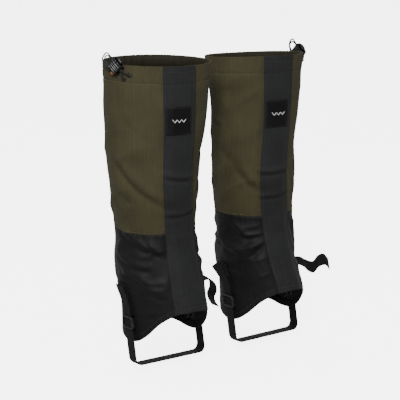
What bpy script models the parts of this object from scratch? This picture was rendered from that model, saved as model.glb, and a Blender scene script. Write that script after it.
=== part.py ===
"""A pair of knee-high hiking gaiters, as they stand when worn over boots.

Frame: metres, +Z up, toes towards -Y, the wearer's right leg at -X, z = 0 on the ground
under the straps. Each gaiter is built about its own upright line, an empty that carries it.

The cloth follows one surface. A point on it is named by the distance s round the outside
from the front centre line (positive towards +X), its height z, and its distance off
outside the cloth's outer face. Shapes are worked out in millimetres and scaled once.
"""
import math

import bmesh
import bpy
import numpy as np

MM = 0.001

# ---- driving dimensions, in millimetres ----
PAIR_SPACING = 204.0        # between the two gaiters' upright lines
SEAM_HEIGHT = 215.0         # where the olive upper meets the black lower
FACE_GAP = 0.4              # between pieces that touch
CLOTH = 1.2                 # coated cloth with its lining
WEBBING = 1.4
WEBBING_WIDTH = 20.0
OPENING_HALF = 8.0          # half the front gap between the two cloth edges
CASING_HEIGHT = 28.0
CORD_DIAMETER = 2.2
TAG_SIZE = (7.0, 5.0, 3.6)
LABEL_SIZE = (40.0, 43.0)
BUCKLE_HEIGHT = 68.0        # slider centre above the ground
BUCKLE_SIZE = (26.0, 20.0, 5.4)
STRAP_LEAN = 0.2            # how far the side straps run forward for each mm down
SIDE_ARC = 117.0            # from the front centre line round to the side fittings
LOCK_BODY = (20.0, 18.0, 11.0)   # along the cord, along the plunger, thickness
LOCK_TURN = 45.0            # degrees the cord rises from level where it passes the lock
PLUNGER_FOOT = -1.8         # inner end of the plunger, from the lock's centre
STRAND_LANE = 0.7           # first strand's place along the plunger, from the lock's centre
# The cord's loop beyond the lock, folded down beside it: along the plunger from the lock's
# centre, along the cord from the lock's end, and outward. The tag hangs from its tip.
LOOP_TIP = (-12.6, -9.5, -2.6)
CORD_LOOP = ((3.3, 12.1, 0.0), (0.1, 15.1, 0.0), (-4.7, 14.7, 0.2), (-10.4, 12.5, 0.8), (-12.6, 5.0, 0.6),
             (-12.6, -3.0, -0.6), LOOP_TIP, (-11.9, -3.0, -3.8), (-11.6, 4.0, -2.6), (-8.6, 10.2, -1.4),
             (-4.2, 11.9, -0.6), (-0.9, 11.1, 0.0))

# Stations up the leg: height, centre x, centre y, half width, depth in front, depth behind,
# turn of the wide axis (degrees), turn of the front centre line (degrees).
RIGHT_STATIONS = (
    (20, 12, -8, 60, 102, 62, 0, 0),
    (90, 12, -8, 62, 92, 62, 0, -2),
    (145, 6, -8, 66, 78, 66, 0, 0),
    (195, 3, -8, 63, 66, 62, -4, 6),
    (280, -1, -10, 70, 66, 62, -14, 12),
    (380, -1, -14, 79, 60, 58, -28, 22),
    (485, 2, -17, 84, 52, 53, -38, 24),
)
LEFT_STATIONS = (
    (20, 9, -8, 60, 102, 62, 0, 0),
    (90, 9, -8, 62, 92, 62, 0, 0),
    (145, 2, -8, 61, 78, 66, 0, -2),
    (195, 0, -8, 64, 66, 62, -4, 0),
    (280, -3, -10, 67, 66, 62, -14, 6),
    (380, -4, -14, 72, 60, 58, -28, 22),
    (485, -8, -17, 80, 52, 52, -38, 29),
)
# Lower edge of the cloth: distance from the front centre line, height.
HEM = ((0, 93), (30, 88), (58, 73), (85, 51), (105, 39), (130, 35), (160, 42), (225, 57))

# Each gaiter: outer side (-1 towards -X), rim height in front and behind, label drop below
# the rim, half width of the flap at the rim and at the hem, and how far outside the flap's
# sewn edge its straight hinge line lies.
GAITERS = {
    "right": dict(side=-1, x=-PAIR_SPACING / 2, stations=RIGHT_STATIONS, rim=(477, 481),
                  label_drop=62, flap_half=(25, 31), hinge_shift=6.5),
    "left": dict(side=1, x=PAIR_SPACING / 2, stations=LEFT_STATIONS, rim=(476, 468),
                 label_drop=71, flap_half=(25, 26), hinge_shift=0.0),
}
# Loose strap ends above the sliders: outward, back (+Y) and up from the slider's centre, and
# the lean of the ribbon's width from level, in degrees.
TAILS = {
    ("right", "outer"): ((0, 5, 25, 0), (2, 7, 36, 0), (6, 9, 49, 0), (9, 11, 60, 0)),
    ("right", "inner"): ((0, 5, 25, 0), (3, 6, 36, 0), (11, 4, 46, 5), (22, 0, 47, 10), (30, -3, 39, 15),
                         (31, -4, 28, 15), (27, -3, 18, 10), (30, -3, 8, 5), (36, -4, -1, 0)),
    ("left", "outer"): ((0, 5, 25, 0), (3, 5, 35, 8), (11, 2, 43, 25), (22, -3, 42, 50), (31, -8, 35, 70),
                        (41, -12, 31, 80), (50, -16, 41, 78), (60, -19, 43, 75), (68, -22, 34, 75)),
    ("left", "inner"): ((0, 5, 25, 0), (2, 9, 35, -12), (4, 18, 46, -25), (5, 30, 57, -35)),
}

OLIVE = (0.068, 0.060, 0.030, 1.0)
BLACK = (0.016, 0.016, 0.017, 1.0)
STRIP = (0.024, 0.024, 0.025, 1.0)
STEEL = (0.45, 0.45, 0.46, 1.0)
ORANGE = (0.55, 0.25, 0.12, 1.0)


def curve_through(at, places, values):
    """Smooth curve through points: a cubic between each two, with shared slopes."""
    places = np.asarray(places, float)
    values = np.asarray(values, float)
    slopes = np.gradient(values, places)
    at = np.clip(at, places[0], places[-1])
    i = np.clip(np.searchsorted(places, at) - 1, 0, len(places) - 2)
    step = places[i + 1] - places[i]
    t = (at - places[i]) / step
    return ((2 * t**3 - 3 * t**2 + 1) * values[i] + (t**3 - 2 * t**2 + t) * step * slopes[i]
            + (3 * t**2 - 2 * t**3) * values[i + 1] + (t**3 - t**2) * step * slopes[i + 1])


def smooth_path(points, spacing):
    """Points about `spacing` apart along a smooth curve through the given ones."""
    points = np.asarray(points, float)
    along = np.concatenate([[0], np.cumsum(np.linalg.norm(np.diff(points[:, :3], axis=0), axis=1))])
    count = max(2, int(round(along[-1] / spacing)) + 1)
    at = np.linspace(0, along[-1], count)
    return np.stack([curve_through(at, along, column) for column in points.T], -1)


class Leg:
    """The surface of one gaiter, about its own upright line."""

    def __init__(self, stations, rim):
        self.table = np.array(stations, float)
        self.rim_heights = rim
        self.angles = np.radians(np.arange(-180.0, 180.5, 2.0))

    def section(self, z):
        """Outline at each height: two half ellipses on one wide axis, turned as a whole."""
        z = np.atleast_1d(np.asarray(z, float))[:, None]
        heights = self.table[:, 0]
        cx, cy, half, front, back, turn, shift = (
            curve_through(z, heights, self.table[:, k]) for k in range(1, 8))
        turn = np.radians(turn)
        angle = self.angles[None, :] + np.radians(shift)
        across, deep = np.sin(angle), np.cos(angle)
        depth = np.where(deep > 0, front, back)
        x = cx + half * across * np.cos(turn) + depth * deep * np.sin(turn)
        y = cy + half * across * np.sin(turn) - depth * deep * np.cos(turn)
        return x, y

    def arcs(self, z):
        """Arc distance of each outline point from the front centre line."""
        x, y = self.section(z)
        steps = np.hypot(np.diff(x, axis=1), np.diff(y, axis=1))
        arc = np.concatenate([np.zeros((len(x), 1)), np.cumsum(steps, axis=1)], axis=1)
        return x, y, arc - arc[:, [len(self.angles) // 2]]

    def point(self, s, z, off=0.0):
        """Points in millimetres at arc s, height z, and off outside the outer face."""
        s, z, off = np.broadcast_arrays(*(np.asarray(v, float) for v in (s, z, off)))
        x, y, arc = self.arcs(z.ravel())
        out = []
        for flat_s, height, flat_off, px, py, a in zip(s.ravel(), z.ravel(), off.ravel(), x, y, arc):
            girth = a[-1] - a[0]
            if flat_s > a[-1]:
                flat_s -= girth
            elif flat_s < a[0]:
                flat_s += girth
            near = np.interp([flat_s, flat_s - 2, flat_s + 2], a, px)
            far = np.interp([flat_s, flat_s - 2, flat_s + 2], a, py)
            tangent = np.array([near[2] - near[1], far[2] - far[1]])
            tangent /= np.hypot(*tangent)
            out.append((near[0] + flat_off * tangent[1], far[0] - flat_off * tangent[0], height))
        return np.array(out).reshape(s.shape + (3,))

    def back_arc(self, z, side):
        """Distance round to the centre-back seam on one side."""
        arc = self.arcs(np.ravel(z))[2]
        return np.abs(arc[:, -1 if side > 0 else 0]).reshape(np.shape(z))

    def rim(self, s, girth_half=215.0):
        """Height of the rim, which tilts from front to back."""
        front, back = self.rim_heights
        return front + (back - front) * (1 - np.cos(np.pi * np.clip(np.abs(s) / girth_half, 0, 1))) / 2


def hem(s):
    """Height of the cloth's lower edge."""
    places, heights = zip(*HEM)
    return curve_through(np.abs(s), places, heights)


def make_material(name, colour, roughness, metallic=0.0):
    material = bpy.data.materials.new(name)
    material.use_nodes = True
    shader = material.node_tree.nodes["Principled BSDF"]
    shader.inputs["Base Color"].default_value = colour
    shader.inputs["Roughness"].default_value = roughness
    shader.inputs["Metallic"].default_value = metallic
    material.diffuse_color = colour
    return material


def place(name, mesh, colour, parent, pivot=(0, 0, 0), roughness=0.9, metallic=0.0):
    """Link a mesh, given in millimetres about the parent, with its origin at the pivot."""
    moved = np.empty(len(mesh.vertices) * 3)
    mesh.vertices.foreach_get("co", moved)
    moved = (moved.reshape(-1, 3) - np.asarray(pivot, float)) * MM
    mesh.vertices.foreach_set("co", moved.ravel())
    mesh.update()
    obj = bpy.data.objects.new(name, mesh)
    obj.location = np.asarray(pivot, float) * MM
    obj.parent = parent
    mesh.materials.append(make_material(name, colour, roughness, metallic))
    bpy.context.scene.collection.objects.link(obj)
    return obj


def grid_mesh(points):
    """Open sheet of quads through an array of points, rows up, columns to the right."""
    rows, columns = points.shape[:2]
    index = np.arange(rows * columns).reshape(rows, columns)
    quads = np.stack([index[:-1, :-1], index[:-1, 1:], index[1:, 1:], index[1:, :-1]], -1)
    mesh = bpy.data.meshes.new("sheet")
    mesh.from_pydata(points.reshape(-1, 3).tolist(), [], quads.reshape(-1, 4).tolist())
    return mesh


def sheet(name, points, thickness, colour, parent, **options):
    """A layer with its outer face on the given points and its thickness behind it."""
    obj = place(name, grid_mesh(points), colour, parent, **options)
    solid = obj.modifiers.new("thickness", "SOLIDIFY")
    solid.thickness = thickness * MM
    solid.offset = -1.0
    solid.use_even_offset = True
    return obj


def box_mesh(low, high):
    mesh = bpy.data.meshes.new("box")
    bm = bmesh.new()
    bmesh.ops.create_cube(bm, size=1.0)
    low, high = np.asarray(low, float), np.asarray(high, float)
    for vert in bm.verts:
        vert.co = (low + high) / 2 + np.array(vert.co) * (high - low)
    bm.to_mesh(mesh)
    bm.free()
    return mesh


def tube(name, points, radius, colour, parent, cyclic=False, resolution=2, pivot=(0, 0, 0),
         roughness=0.9, metallic=0.0):
    """Round bar along points in millimetres: a bevelled curve with filled caps."""
    curve = bpy.data.curves.new(name, "CURVE")
    curve.dimensions = "3D"
    curve.bevel_depth = radius * MM
    curve.bevel_resolution = resolution
    curve.use_fill_caps = not cyclic
    spline = curve.splines.new("POLY")
    spline.points.add(len(points) - 1)
    for target, point in zip(spline.points, points):
        target.co = (*((np.asarray(point) - pivot) * MM), 1.0)
    spline.use_cyclic_u = cyclic
    curve.materials.append(make_material(name, colour, roughness, metallic))
    obj = bpy.data.objects.new(name, curve)
    obj.location = np.asarray(pivot, float) * MM
    obj.parent = parent
    bpy.context.scene.collection.objects.link(obj)
    return obj


def weld(mesh):
    bm = bmesh.new()
    bm.from_mesh(mesh)
    bmesh.ops.remove_doubles(bm, verts=bm.verts, dist=0.01)
    bmesh.ops.recalc_face_normals(bm, faces=bm.faces)
    bm.to_mesh(mesh)
    bm.free()


def boolean(obj, name, mesh, parent, operation="DIFFERENCE"):
    """Take a shape, in millimetres about the parent, out of a piece, or join it on."""
    helper = place(name, mesh, BLACK, parent)
    helper.hide_render = True
    helper.display_type = "WIRE"
    modifier = obj.modifiers.new(name, "BOOLEAN")
    modifier.operation = operation
    modifier.solver = "EXACT"
    modifier.object = helper


def ribbon_mesh(path, widths, thickness):
    """Flat band along a path: at each point four corners, half a width and half a thickness
    away, where thickness runs square to the path and to the width."""
    path, widths = np.asarray(path, float), np.asarray(widths, float)
    along = np.gradient(path, axis=0)
    normal = np.cross(along, widths)
    normal /= np.linalg.norm(normal, axis=1, keepdims=True)
    half, deep = widths * WEBBING_WIDTH / 2, normal * thickness / 2
    ring = np.stack([path - half - deep, path + half - deep, path + half + deep, path - half + deep], 1)
    count = len(path)
    index = np.arange(count * 4).reshape(count, 4)
    turned = np.roll(index, -1, axis=1)
    quads = np.stack([index[:-1], index[1:], turned[1:], turned[:-1]], -1).reshape(-1, 4).tolist()
    quads += [index[0].tolist(), index[-1][::-1].tolist()]
    mesh = bpy.data.meshes.new("ribbon")
    mesh.from_pydata(ring.reshape(-1, 3).tolist(), [], quads)
    weld(mesh)
    return mesh


# ---- cloth ----

def around(leg, side, columns, rows, low, high, off, start=OPENING_HALF):
    """Grid over one half, from the front edge round to the back seam, between two edges."""
    part, rise = np.meshgrid(np.linspace(0, 1, columns + 1), np.linspace(0, 1, rows + 1))
    z = np.full(part.shape, SEAM_HEIGHT)
    for _ in range(4):
        s = start + (leg.back_arc(z, side) - FACE_GAP / 2 - start) * part
        z = low(s) + (high(s) - low(s)) * rise
    points = leg.point(side * s, z, off)
    return points if side > 0 else points[:, ::-1]


def whole_band(leg, columns, low, high, off, start):
    """Band from one front edge round the back to the other."""
    plus = around(leg, 1, columns, 1, low, high, off, start)
    minus = around(leg, -1, columns, 1, low, high, off, start)
    return np.concatenate([plus[:, :-1], minus], axis=1)


def make_cloth(name, leg, side, label_of, parent):
    def rim(s):
        return leg.rim(s)

    def seam(s):
        return np.full(np.shape(s), SEAM_HEIGHT)

    for half in (side, -side):
        upper = around(leg, half, 12, 7, lambda s: seam(s) + FACE_GAP, rim, 0.0)
        panel = sheet(f"{name}_upper_{label_of[half]}_panel", upper, CLOTH, OLIVE, parent)
        if half == side:
            for number, spot in enumerate(eyelet_spots(leg, side)):
                centre, outward = spot
                boolean(panel, f"{name}_eyelet_hole_{number}", disc_mesh(centre, outward, 3.3, 8.0), parent)
        lower = around(leg, half, 12, 6, hem, seam, 0.0)
        sheet(f"{name}_lower_{label_of[half]}_panel", lower, CLOTH, BLACK, parent)

    inside = -CLOTH - FACE_GAP
    heights = np.linspace(75, 440, 12)[:, None]
    across = np.array([-6.0, 6.0])[None, :]
    back = leg.back_arc(heights, 1)
    tape = leg.point(back + across, np.broadcast_to(heights, (12, 2)), inside - 1.0)
    sheet(f"{name}_back_seam_tape", tape, 0.6, BLACK, parent)
    casing = whole_band(leg, 12, lambda s: rim(s) - CASING_HEIGHT, lambda s: rim(s) - 1.5,
                        inside - CORD_DIAMETER - 2.4, 12.0)
    sheet(f"{name}_rim_casing", casing, 0.8, OLIVE, parent)
    elastic = whole_band(leg, 12, lambda s: seam(s) - 76.0, lambda s: seam(s) - 60.0, inside - 2.6, 34.0)
    sheet(f"{name}_ankle_elastic", elastic, 1.0, BLACK, parent)
    binding = whole_band(leg, 12, lambda s: hem(s) + 1.0, lambda s: hem(s) + 12.0, inside - 1.6, 34.0)
    sheet(f"{name}_hem_binding", binding, 0.7, BLACK, parent)


def strip_grid(leg, s_low, s_high, z_low, z_high, columns, rows, off):
    """Grid over an upright strip whose sides, ends and offset may vary."""
    part, rise = np.meshgrid(np.linspace(0, 1, columns + 1), np.linspace(0, 1, rows + 1))
    s = s_low(rise) + (s_high(rise) - s_low(rise)) * part
    z = z_low(s) + (z_high(s) - z_low(s)) * rise
    return leg.point(s, z, off(s))


def make_front(name, leg, facts, parent):
    """The underlap, its hook tape, and the flap that peels open from its sewn outer edge."""
    side = facts["side"]
    top_half, low_half = facts["flap_half"]

    def half(rise):
        return low_half + (top_half - low_half) * np.clip(rise * 2.5, 0, 1)

    def level(value):
        return lambda *_: value

    def bottom(s):
        return hem(s) + 1.0

    def top(s):
        return leg.rim(s) - 1.0

    placket = strip_grid(leg, level(-29.0), level(29.0), bottom, lambda s: leg.rim(s) - CASING_HEIGHT - 3,
                         5, 14, level(-2.8))
    sheet(f"{name}_placket", placket, 0.8, BLACK, parent)
    inner = -side
    edges = sorted((inner * 9.5, inner * 21.5))
    hook = strip_grid(leg, level(edges[0]), level(edges[1]), bottom, top, 1, 14, level(1.3))
    sheet(f"{name}_hook_tape", hook, 0.7, BLACK, parent)

    pivot = hinge_line(leg, facts)[0]
    loop = strip_grid(leg, level(edges[0]), level(edges[1]), bottom, top, 1, 14, level(2.6))
    sheet(f"{name}_loop_tape", loop, 0.7, BLACK, parent, pivot=pivot)

    def lift(s):
        """Off the cloth: low at the sewn edge, clear of the two tapes further in."""
        from_edge = np.clip((top_half - side * s) / 16.0, 0, 1)
        return 1.6 + 2.9 * from_edge * from_edge * (3 - 2 * from_edge)

    flap = strip_grid(leg, lambda r: -half(r), half, bottom, lambda s: leg.rim(s) + 0.5, 6, 14, lift)
    sheet(f"{name}_front_flap", flap, 1.1, STRIP, parent, pivot=pivot)
    width, height = LABEL_SIZE
    label_top = leg.rim_heights[0] - facts["label_drop"]
    label = strip_grid(leg, level(-width / 2 - 2), level(width / 2 - 2), level(label_top - height),
                       level(label_top), 4, 3, lambda s: lift(s) + 1.1)
    sheet(f"{name}_label_patch", label, 0.6, BLACK, parent, pivot=pivot)


def hinge_line(leg, facts):
    """Straight line that the flap turns about, along its sewn edge: it touches the cloth near
    its two ends and stays outside the hollow between them."""
    top_half, low_half = facts["flap_half"]
    low = leg.point(facts["side"] * (low_half + facts["hinge_shift"]), 100.0, 1.0)
    high = leg.point(facts["side"] * (top_half + facts["hinge_shift"]), leg.rim_heights[0] - 4.0, 1.0)
    return low, high


# ---- drawcord and its lock ----

def lock_frame(leg, side):
    """Centre of the lock and its directions: along the cord, along the plunger, outwards."""
    s, z = side * 95.0, leg.rim(95.0) - 1.0
    centre = leg.point(s, z, 8.0)
    outward = leg.point(s, z, 9.0) - leg.point(s, z, 8.0)
    level = np.cross([0.0, 0.0, 1.0], outward) * side
    turn = math.radians(LOCK_TURN)
    cord = level * math.cos(turn) + np.array([0.0, 0.0, 1.0]) * math.sin(turn)
    plunger = -level * math.sin(turn) + np.array([0.0, 0.0, 1.0]) * math.cos(turn)
    return centre, cord, plunger, outward


def eyelet_spots(leg, side):
    """Where the two strands leave the cloth, with the way each points."""
    rim = leg.rim(82.0)
    for s, z in ((76.0, rim - 15.0), (86.0, rim - 21.0)):
        centre = leg.point(side * s, z, 0.0)
        yield centre, leg.point(side * s, z, 1.0) - centre


def disc_mesh(centre, outward, radius, length, hole=0.0, segments=12):
    """Round bar, or a ring if it has a hole, centred on a point along a direction."""
    mesh = bpy.data.meshes.new("disc")
    bm = bmesh.new()
    outward = np.asarray(outward, float) / np.linalg.norm(outward)
    side = np.cross(outward, [0.0, 0.0, 1.0])
    side /= np.linalg.norm(side)
    up = np.cross(side, outward)
    turns = np.arange(segments) * 2 * math.pi / segments
    circle = np.cos(turns)[:, None] * side + np.sin(turns)[:, None] * up
    rings = [(radius, -length / 2), (radius, length / 2)]
    if hole:
        rings += [(hole, length / 2), (hole, -length / 2)]
    loops = [[bm.verts.new(np.asarray(centre) + circle[k] * r + outward * h) for k in range(segments)]
             for r, h in rings]
    pairs = list(zip(loops, loops[1:] + loops[:1])) if hole else [(loops[0], loops[1])]
    for a, b in pairs:
        for k in range(segments):
            bm.faces.new((a[k], a[k - 1], b[k - 1], b[k]))
    if not hole:
        bm.faces.new(loops[0])
        bm.faces.new(loops[1])
    bmesh.ops.recalc_face_normals(bm, faces=bm.faces)
    bm.to_mesh(mesh)
    bm.free()
    return mesh


def oriented_box(centre, axes, low, high):
    """Box given by its limits along three directions from a centre."""
    mesh = box_mesh(low, high)
    for vert in mesh.vertices:
        vert.co = np.asarray(centre) + sum(np.asarray(a) * c for a, c in zip(axes, vert.co))
    if np.dot(np.cross(axes[0], axes[1]), axes[2]) < 0:
        mesh.flip_normals()
    return mesh


def make_lock(name, leg, side, parent):
    """Cord lock body with its pocket and cord way, the plunger and its spring."""
    centre, cord, plunger, outward = lock_frame(leg, side)
    axes = (cord, plunger, outward)
    long, wide, thick = LOCK_BODY
    body = place(f"{name}_cord_lock_body",
                 oriented_box(centre, axes, (-long / 2, -wide / 2, -thick / 2), (long / 2, wide / 2, thick / 2)),
                 BLACK, parent, pivot=centre, roughness=0.45)
    boolean(body, f"{name}_lock_pocket",
        oriented_box(centre, axes, (-6.5, -wide / 2 + 1.2, -3.3), (6.5, wide / 2 + 2, 3.3)), parent)
    boolean(body, f"{name}_lock_cord_way",
        oriented_box(centre, axes, (-long, -1.1, -1.9), (long, 5.2, 1.9)), parent)
    button = place(f"{name}_cord_lock_button",
                   oriented_box(centre, axes, (-6.2, PLUNGER_FOOT, -3.0), (6.2, wide / 2 + 4.5, 3.0)),
                   BLACK, parent, pivot=centre, roughness=0.45)
    boolean(button, f"{name}_button_window",
        oriented_box(centre, axes, (-long, -0.7, -1.8), (long, 7.8, 1.8)), parent)

    turns, steps, radius, wire = 3, 10, 2.2, 0.3
    angle = np.linspace(0, 2 * math.pi * turns, turns * steps + 1)
    rise = np.linspace(-wide / 2 + 1.5 + wire, PLUNGER_FOOT - 0.3 - wire, len(angle))
    helix = (centre + np.cos(angle)[:, None] * radius * cord + np.sin(angle)[:, None] * radius * outward
             + rise[:, None] * plunger)
    tube(f"{name}_cord_lock_spring", helix, wire, STEEL, parent, resolution=0, roughness=0.3,
         metallic=1.0, pivot=centre)


def cord_route(leg, side):
    """The cord's way: sewn at one front edge, inside the casing to its eyelet, out and through
    the lock, down to the end tag, back through the lock and round to the other front edge."""
    centre, cord, plunger, outward = lock_frame(leg, side)
    half_lock = LOCK_BODY[0] / 2
    inside = -CLOTH - 2.0 - CORD_DIAMETER / 2
    lanes = (STRAND_LANE + CORD_DIAMETER + FACE_GAP, STRAND_LANE)

    def leave(spot, way, lane):
        into = centre + plunger * lane - cord * (half_lock + 2.5)
        return [spot - way * 1.2, spot + way * 3.0, spot * 0.45 + into * 0.55 + outward * 1.6, into,
                centre + plunger * lane, centre + plunger * lane + cord * (half_lock + 9.0)]

    (spot_a, way_a), (spot_b, way_b) = eyelet_spots(leg, side)
    front = [leg.point(side * s, leg.rim(s) - drop, inside)
             for s, drop in ((16.0, 14.0), (30.0, 13.0), (45.0, 13.0), (58.0, 14.0), (68.0, 15.0))]
    girth = sum(leg.back_arc(np.array([470.0]), way)[0] for way in (1, -1))
    behind = np.linspace(94.0, girth - 16.0, 34)
    drop = 14.0 + 6.0 * np.clip(1 - (behind - 94.0) / 25.0, 0, 1)
    back = list(leg.point(side * behind, leg.rim(np.minimum(behind, girth - behind)) - drop, inside))
    loop = [centre + plunger * across + cord * (half_lock + along) + outward * off
            for across, along, off in CORD_LOOP]
    route = front + leave(spot_a, way_a, lanes[0]) + loop + leave(spot_b, way_b, lanes[1])[::-1] + back
    return route, loop[CORD_LOOP.index(LOOP_TIP)]


def make_cord(name, leg, side, parent):
    route, tip = cord_route(leg, side)
    tube(f"{name}_drawcord", smooth_path(route, 6.5), CORD_DIAMETER / 2, BLACK, parent)
    for label, (spot, way) in zip(("front", "back"), eyelet_spots(leg, side)):
        ring = disc_mesh(spot + way * 0.85, way, 4.6, 0.9, hole=2.3)
        place(f"{name}_eyelet_{label}", ring, BLACK, parent, roughness=0.35, metallic=0.8)
    centre, cord, plunger, outward = lock_frame(leg, side)
    tag = tip - cord * (CORD_DIAMETER / 2 + FACE_GAP + TAG_SIZE[1] / 2)
    low, high = (tuple(way * size / 2 for size in TAG_SIZE) for way in (-1, 1))
    place(f"{name}_cord_end_tag", oriented_box(tag, (plunger, cord, outward), low, high), ORANGE, parent,
          roughness=0.5)


# ---- webbing, sliders and the strap under the boot ----

def lean(points):
    """Shift points forward the lower they are, so the side straps slope."""
    points = np.array(points, float)
    points[..., 1] += STRAP_LEAN * (points[..., 2] - BUCKLE_HEIGHT)
    return points


def side_spot(leg, side):
    """Middle of the side strap's run, level with the slider."""
    spot = leg.point(side * SIDE_ARC, 92.0, 4.6)
    back = leg.point(side * SIDE_ARC, BUCKLE_HEIGHT, 0.0)
    return np.array([spot[0], back[1], BUCKLE_HEIGHT])


def lean_mesh(mesh):
    for vert in mesh.vertices:
        vert.co.y += STRAP_LEAN * (vert.co.z - BUCKLE_HEIGHT)
    return mesh


def make_buckle(name, spot, way, parent):
    """Two-slot slider: two side rails joined by end bars before the strap and a bar behind it."""
    long, tall, deep = BUCKLE_SIZE
    axes = (np.array([way, 0, 0]), np.array([0, 1, 0]), np.array([0, 0, 1]))
    slot = WEBBING_WIDTH / 2 + 0.8
    behind, ahead = (-deep / 2 + 0.1, -1.1), (1.1, deep / 2 - 0.1)
    parts = [((-deep / 2, slot, -tall / 2), (deep / 2, long / 2, tall / 2)),
             ((ahead[0], -slot - 1.1, tall / 2 - 3.1), (ahead[1], slot + 1.1, tall / 2 - 0.1)),
             ((ahead[0], -slot - 1.1, -tall / 2 + 0.1), (ahead[1], slot + 1.1, -tall / 2 + 3.1)),
             ((behind[0], -slot - 1.2, -1.5), (behind[1], slot + 1.2, 1.5)),
             ((-deep / 2, -long / 2, -tall / 2), (deep / 2, -slot, tall / 2))]
    meshes = [lean_mesh(oriented_box(spot, axes, low, high)) for low, high in parts]
    frame = place(name, meshes[0], BLACK, parent, roughness=0.4)
    for number, mesh in enumerate(meshes[1:]):
        boolean(frame, f"{name}_bar_{number}", mesh, parent, "UNION")


def make_tab(name, leg, side, parent):
    """Webbing sewn on the ankle, down to the slider's top bar."""
    low = BUCKLE_HEIGHT + BUCKLE_SIZE[1] / 2 + 1.0
    rise = np.linspace(low, 131.0, 5)[:, None] * np.ones((1, 3))
    across = np.array([-1.0, 0.0, 1.0])[None, :] * np.ones((5, 1)) * WEBBING_WIDTH / 2
    middle = leg.point(np.full(rise.shape, side * SIDE_ARC), rise, 0.5 + WEBBING)
    ahead = leg.point(np.full(rise.shape, side * SIDE_ARC), rise, 1.5 + WEBBING) - middle
    along = np.stack([-ahead[..., 1], ahead[..., 0], np.zeros(rise.shape)], -1)
    points = middle + along * across[..., None] + ahead * 0.9 * (1 - (across[..., None] / 10) ** 2)
    points[..., 1] += STRAP_LEAN * (rise - 92.0) * 0.5
    sheet(name, points, WEBBING, BLACK, parent)


def make_strap(name, outer, inner, side, parent):
    """One length of webbing: loose end, down through the outer slider, under the boot, up
    through the inner slider, loose end."""
    def end_path(spot, way, key):
        run = smooth_path(np.array(TAILS[(name, key)]), 7.0)
        place_at = spot + np.stack([run[:, 0] * way, run[:, 1], run[:, 2]], -1)
        slope = np.radians(run[:, 3])
        wide = np.stack([np.zeros(len(run)), np.cos(slope), np.sin(slope)], -1)
        return place_at, wide

    corner = 11.0
    turn = np.radians(np.linspace(0, 90, 6))[1:-1]
    ground = WEBBING / 2
    path_out, wide_out = end_path(outer, side, "outer")
    path_in, wide_in = end_path(inner, -side, "inner")

    def leg_down(spot, way):
        """From the slider down and round the corner, to level along the ground."""
        down = [[spot[0], spot[1], z] for z in (BUCKLE_HEIGHT + 14.0, BUCKLE_HEIGHT, 40.0, ground + corner)]
        bend = [[spot[0] - way * corner * (1 - math.cos(a)), spot[1], ground + corner * (1 - math.sin(a))]
                for a in turn]
        return np.array(down + bend + [[spot[0] - way * corner, spot[1], ground]])

    left, right = leg_down(outer, side), leg_down(inner, -side)
    middle = (left[-1] + right[-1]) / 2
    core = lean(np.concatenate([left, [middle], right[::-1]]))
    level = np.tile([0.0, 1.0, 0.0], (len(core), 1))
    path = np.concatenate([path_out[::-1], core, path_in])
    wide = np.concatenate([wide_out[::-1], level, wide_in])
    place(f"{name}_underfoot_strap", ribbon_mesh(path, wide, WEBBING), BLACK, parent)


def make_side_fittings(name, leg, side, parent):
    spots = {}
    for label, way in (("outer", side), ("inner", -side)):
        spots[label] = side_spot(leg, way)
        make_tab(f"{name}_{label}_webbing_tab", leg, way, parent)
        make_buckle(f"{name}_{label}_buckle", spots[label], way, parent)
    make_strap(name, spots["outer"], spots["inner"], side, parent)


def make_lace_hook(name, leg, parent):
    """Wire hook on a short webbing loop inside the front of the hem."""
    height = float(hem(0.0)) + 3.0
    top = leg.point(0.0, height, -7.0)
    out = leg.point(0.0, height, 0.0) - leg.point(0.0, height, -1.0)
    across = np.cross([0, 0, 1.0], out)
    up = np.array([0, 0, 1.0])
    profile = [(0, 0), (0, -8), (-1.5, -12.5), (-5, -14.5), (-8.6, -12.5), (-9.5, -8.5)]
    half = 5.0
    near = [top + across * half + out * d + up * h for d, h in profile]
    far = [top - across * half + out * d + up * h for d, h in profile]
    loop = near + far[::-1]
    wire = 1.1
    tube(f"{name}_lace_hook", np.array(loop), wire, STEEL, parent, cyclic=True, roughness=0.35, metallic=0.9,
         pivot=top)
    rows = np.linspace(height - 2.0, height + 24.0, 4)[:, None] * np.ones((1, 2))
    columns = np.array([-3.6, 3.6])[None, :] * np.ones((4, 1))
    sheet(f"{name}_lace_hook_tab", leg.point(columns, rows, -4.4), 1.0, BLACK, parent)


def main():
    for obj in list(bpy.data.objects):
        bpy.data.objects.remove(obj, do_unlink=True)
    for name, facts in GAITERS.items():
        leg = Leg(facts["stations"], facts["rim"])
        side = facts["side"]
        label_of = {side: "outer", -side: "inner"}
        carrier = bpy.data.objects.new(f"{name}_gaiter", None)
        carrier.location = (facts["x"] * MM, 0, 0)
        bpy.context.scene.collection.objects.link(carrier)
        make_cloth(name, leg, side, label_of, carrier)
        make_front(name, leg, facts, carrier)
        make_lock(name, leg, side, carrier)
        make_cord(name, leg, side, carrier)
        make_side_fittings(name, leg, side, carrier)
        make_lace_hook(name, leg, carrier)


main()
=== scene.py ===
"""A pair of knee-high hiking gaiters: coated cloth tubes with a peel-open front flap, a drawcord
with a spring lock at the rim, and a webbing strap that runs under each boot.

Shapes are worked out in millimetres on one cloth surface and scaled to metres once. A point of
that surface is named by the distance s round it from the front centre line (positive towards
+X), its height z, and its distance off outside the cloth's outer face.
"""
import math

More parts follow.
